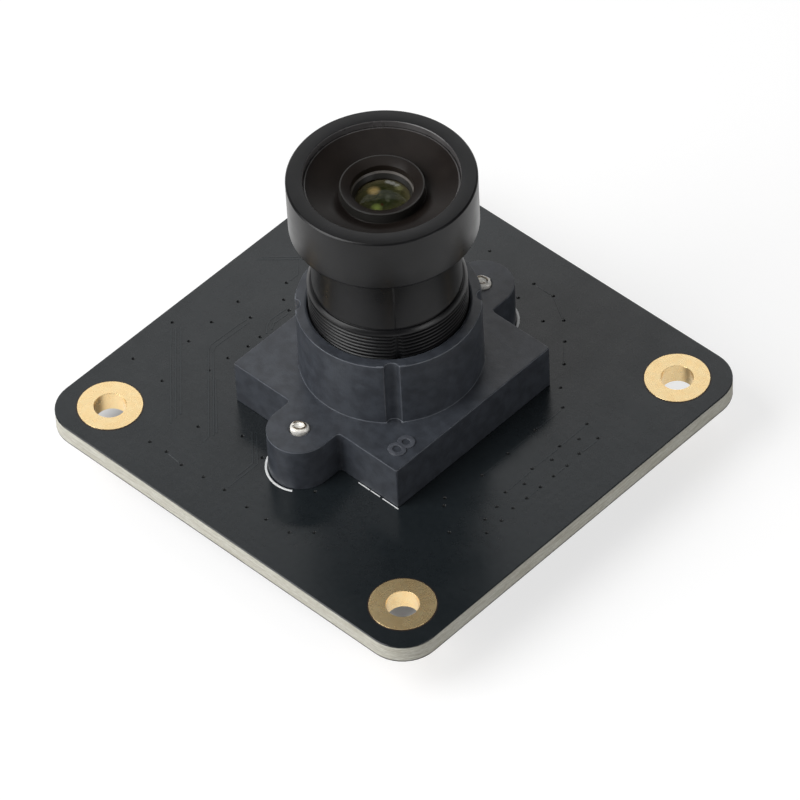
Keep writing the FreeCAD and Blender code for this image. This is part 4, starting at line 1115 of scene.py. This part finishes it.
def dress_all():
    """Rounded copies of the small parts, and materials on the nodes that stay as they are."""
    for node, material, rounding, slot in ROUNDED:
        piece = dressed(node, "board", material, rounding, clamp=node not in UNLIMITED)
        if node == "holder_screws":
            break_screw_tips(piece)
    dressed_chips("ceramic_capacitors", CAPACITOR, 0.19)
    dressed_chips("chip_resistors", RESISTOR, 0.3)
    crystal = dressed("crystal", "board", CERAMIC, 0.05)
    crystal.data.materials.append(LID)
    for polygon in crystal.data.polygons:
        if polygon.center.z / MM < LID_TOP:
            polygon.material_index = 1
    for node, material in PLAIN:
        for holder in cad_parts[node].material_slots:
            holder.material = material


# Floor, light and camera

DIRECT = ("Is Camera Ray", "Is Glossy Ray", "Is Transmission Ray")
FLOOR_TONE = 0.4
FLOOR_GLOW = 0.7
FLOOR_HALF = 1.5
FLOOR_GAP = 0.0001
SHADE_DEPTH = 0.1
SHADE_INNER = 15.2
SHADE_OUTER = 18.6
WORLD_LIGHT = 0.12
WALL_TOP = 0.1
CEILING = 0.1


def floor_material():
    """A lit surface plus the white that the camera, gloss and glass see, dark below the board.

    The dark part lies where the camera sees the floor through the corner holes. It is a
    rectangle that reaches a little past the board's left side. From below the floor is clear.
    """
    material = bpy.data.materials.new("floor_white")
    material.use_nodes = True
    material.node_tree.nodes.clear()
    graph = Graph(material.node_tree)
    across = graph.maths("MULTIPLY_ADD", graph.axis("X"), 1.0, 3.0 * MM)
    away = graph.maths("MULTIPLY_ADD", graph.axis("Y"), 1.22, 0.0)
    sides = (graph.maths("ABSOLUTE", across), graph.maths("ABSOLUTE", away))
    edge = graph.maths("MAXIMUM", *sides)
    shade = graph.span(edge, SHADE_INNER * MM, SHADE_OUTER * MM, SHADE_DEPTH, 1)
    diffuse = graph.nodes.new("ShaderNodeBsdfDiffuse")
    diffuse.inputs["Color"].default_value = (FLOOR_TONE, FLOOR_TONE, FLOOR_TONE, 1)
    glow = graph.nodes.new("ShaderNodeEmission")
    strength = graph.maths("MULTIPLY", graph.seen(FLOOR_GLOW, 0.0, DIRECT), shade)
    graph.link(strength, glow.inputs["Strength"])
    both = graph.nodes.new("ShaderNodeAddShader")
    graph.link(diffuse.outputs[0], both.inputs[0])
    graph.link(glow.outputs[0], both.inputs[1])
    clear = graph.nodes.new("ShaderNodeBsdfTransparent")
    either = graph.nodes.new("ShaderNodeMixShader")
    graph.link(graph.nodes.new("ShaderNodeNewGeometry").outputs["Backfacing"], either.inputs[0])
    graph.link(both.outputs[0], either.inputs[1])
    graph.link(clear.outputs[0], either.inputs[2])
    out = graph.nodes.new("ShaderNodeOutputMaterial")
    graph.link(either.outputs[0], out.inputs["Surface"])
    return material


def make_floor():
    mesh = bpy.data.meshes.new("floor")
    height = cad_low.z - FLOOR_GAP
    places = ((-1, -1), (1, -1), (1, 1), (-1, 1))
    corners = [(x * FLOOR_HALF, y * FLOOR_HALF, height) for x, y in places]
    mesh.from_pydata(corners, [], [(0, 1, 2, 3)])
    mesh.materials.append(floor_material())
    floor = bpy.data.objects.new("floor", mesh)
    bpy.context.scene.collection.objects.link(floor)


def make_world():
    """White for the camera. Gloss and glass see it white at the horizon and dark overhead."""
    world = bpy.data.worlds.new("studio")
    bpy.context.scene.world = world
    world.use_nodes = True
    graph = Graph(world.node_tree, "Generated")
    background = graph.nodes["Background"]
    white, grey = (1, 1, 1, 1), (CEILING, CEILING, CEILING, 1)
    room = graph.ramp(graph.axis("Z"), ((0.0, white), (WALL_TOP, grey)))
    shown = graph.blend(graph.seen(1.0, 0.0, ("Is Camera Ray",)), room, white)
    graph.link(shown, background.inputs["Color"])
    graph.link(graph.seen(1.0, WORLD_LIGHT, DIRECT), background.inputs["Strength"])


# Name, place in metres, size in metres, power in watts
LAMPS = (
    ("key", (-0.10, -0.26, 0.32), (0.26, 0.26), 1.3),
    ("low", (-0.18, -0.33, 0.12), (0.26, 0.2), 0.62),
    ("right", (0.40, 0.02, 0.13), (0.2, 0.2), 0.4),
    ("back", (-0.26, 0.26, 0.24), (0.36, 0.26), 0.38),
    ("top", (0.0, 0.02, 0.5), (0.3, 0.3), 0.2),
)
LAMP_AIM = Vector((0, 0, 0.008))


def make_lamp(name, place, size, power):
    lamp = bpy.data.lights.new(name, "AREA")
    lamp.shape = "RECTANGLE"
    lamp.size, lamp.size_y = size
    lamp.energy = power
    holder = bpy.data.objects.new(name, lamp)
    bpy.context.scene.collection.objects.link(holder)
    holder.location = place
    holder.rotation_euler = (LAMP_AIM - Vector(place)).to_track_quat("-Z", "Y").to_euler()


def make_camera():
    """The camera that was solved from the photo's board corners and hole rings."""
    data = bpy.data.cameras.new("camera")
    data.lens = 275.74
    data.sensor_width = 36
    data.clip_start = 0.05
    data.clip_end = 10
    camera = bpy.data.objects.new("camera", data)
    bpy.context.scene.collection.objects.link(camera)
    right = Vector((0.72858916, 0.68390961, -0.0377554))
    up = Vector((-0.4782909, 0.54744625, 0.68668801))
    back = Vector((0.49030158, -0.48225537, 0.72597115))
    turn = Matrix((right, up, back)).transposed()
    place = Vector((227.345, -222.981, 336.821)) * MM
    camera.matrix_world = Matrix.Translation(place) @ turn.to_4x4()
    bpy.context.scene.camera = camera


make_board()
make_traces()
make_platings()
make_legend()
make_back_print()
make_holder()
make_barrel()
make_front_ring()
dress_all()
make_floor()
make_world()
for lamp in LAMPS:
    make_lamp(*lamp)
make_camera()
bpy.context.scene.view_settings.view_transform = "Standard"
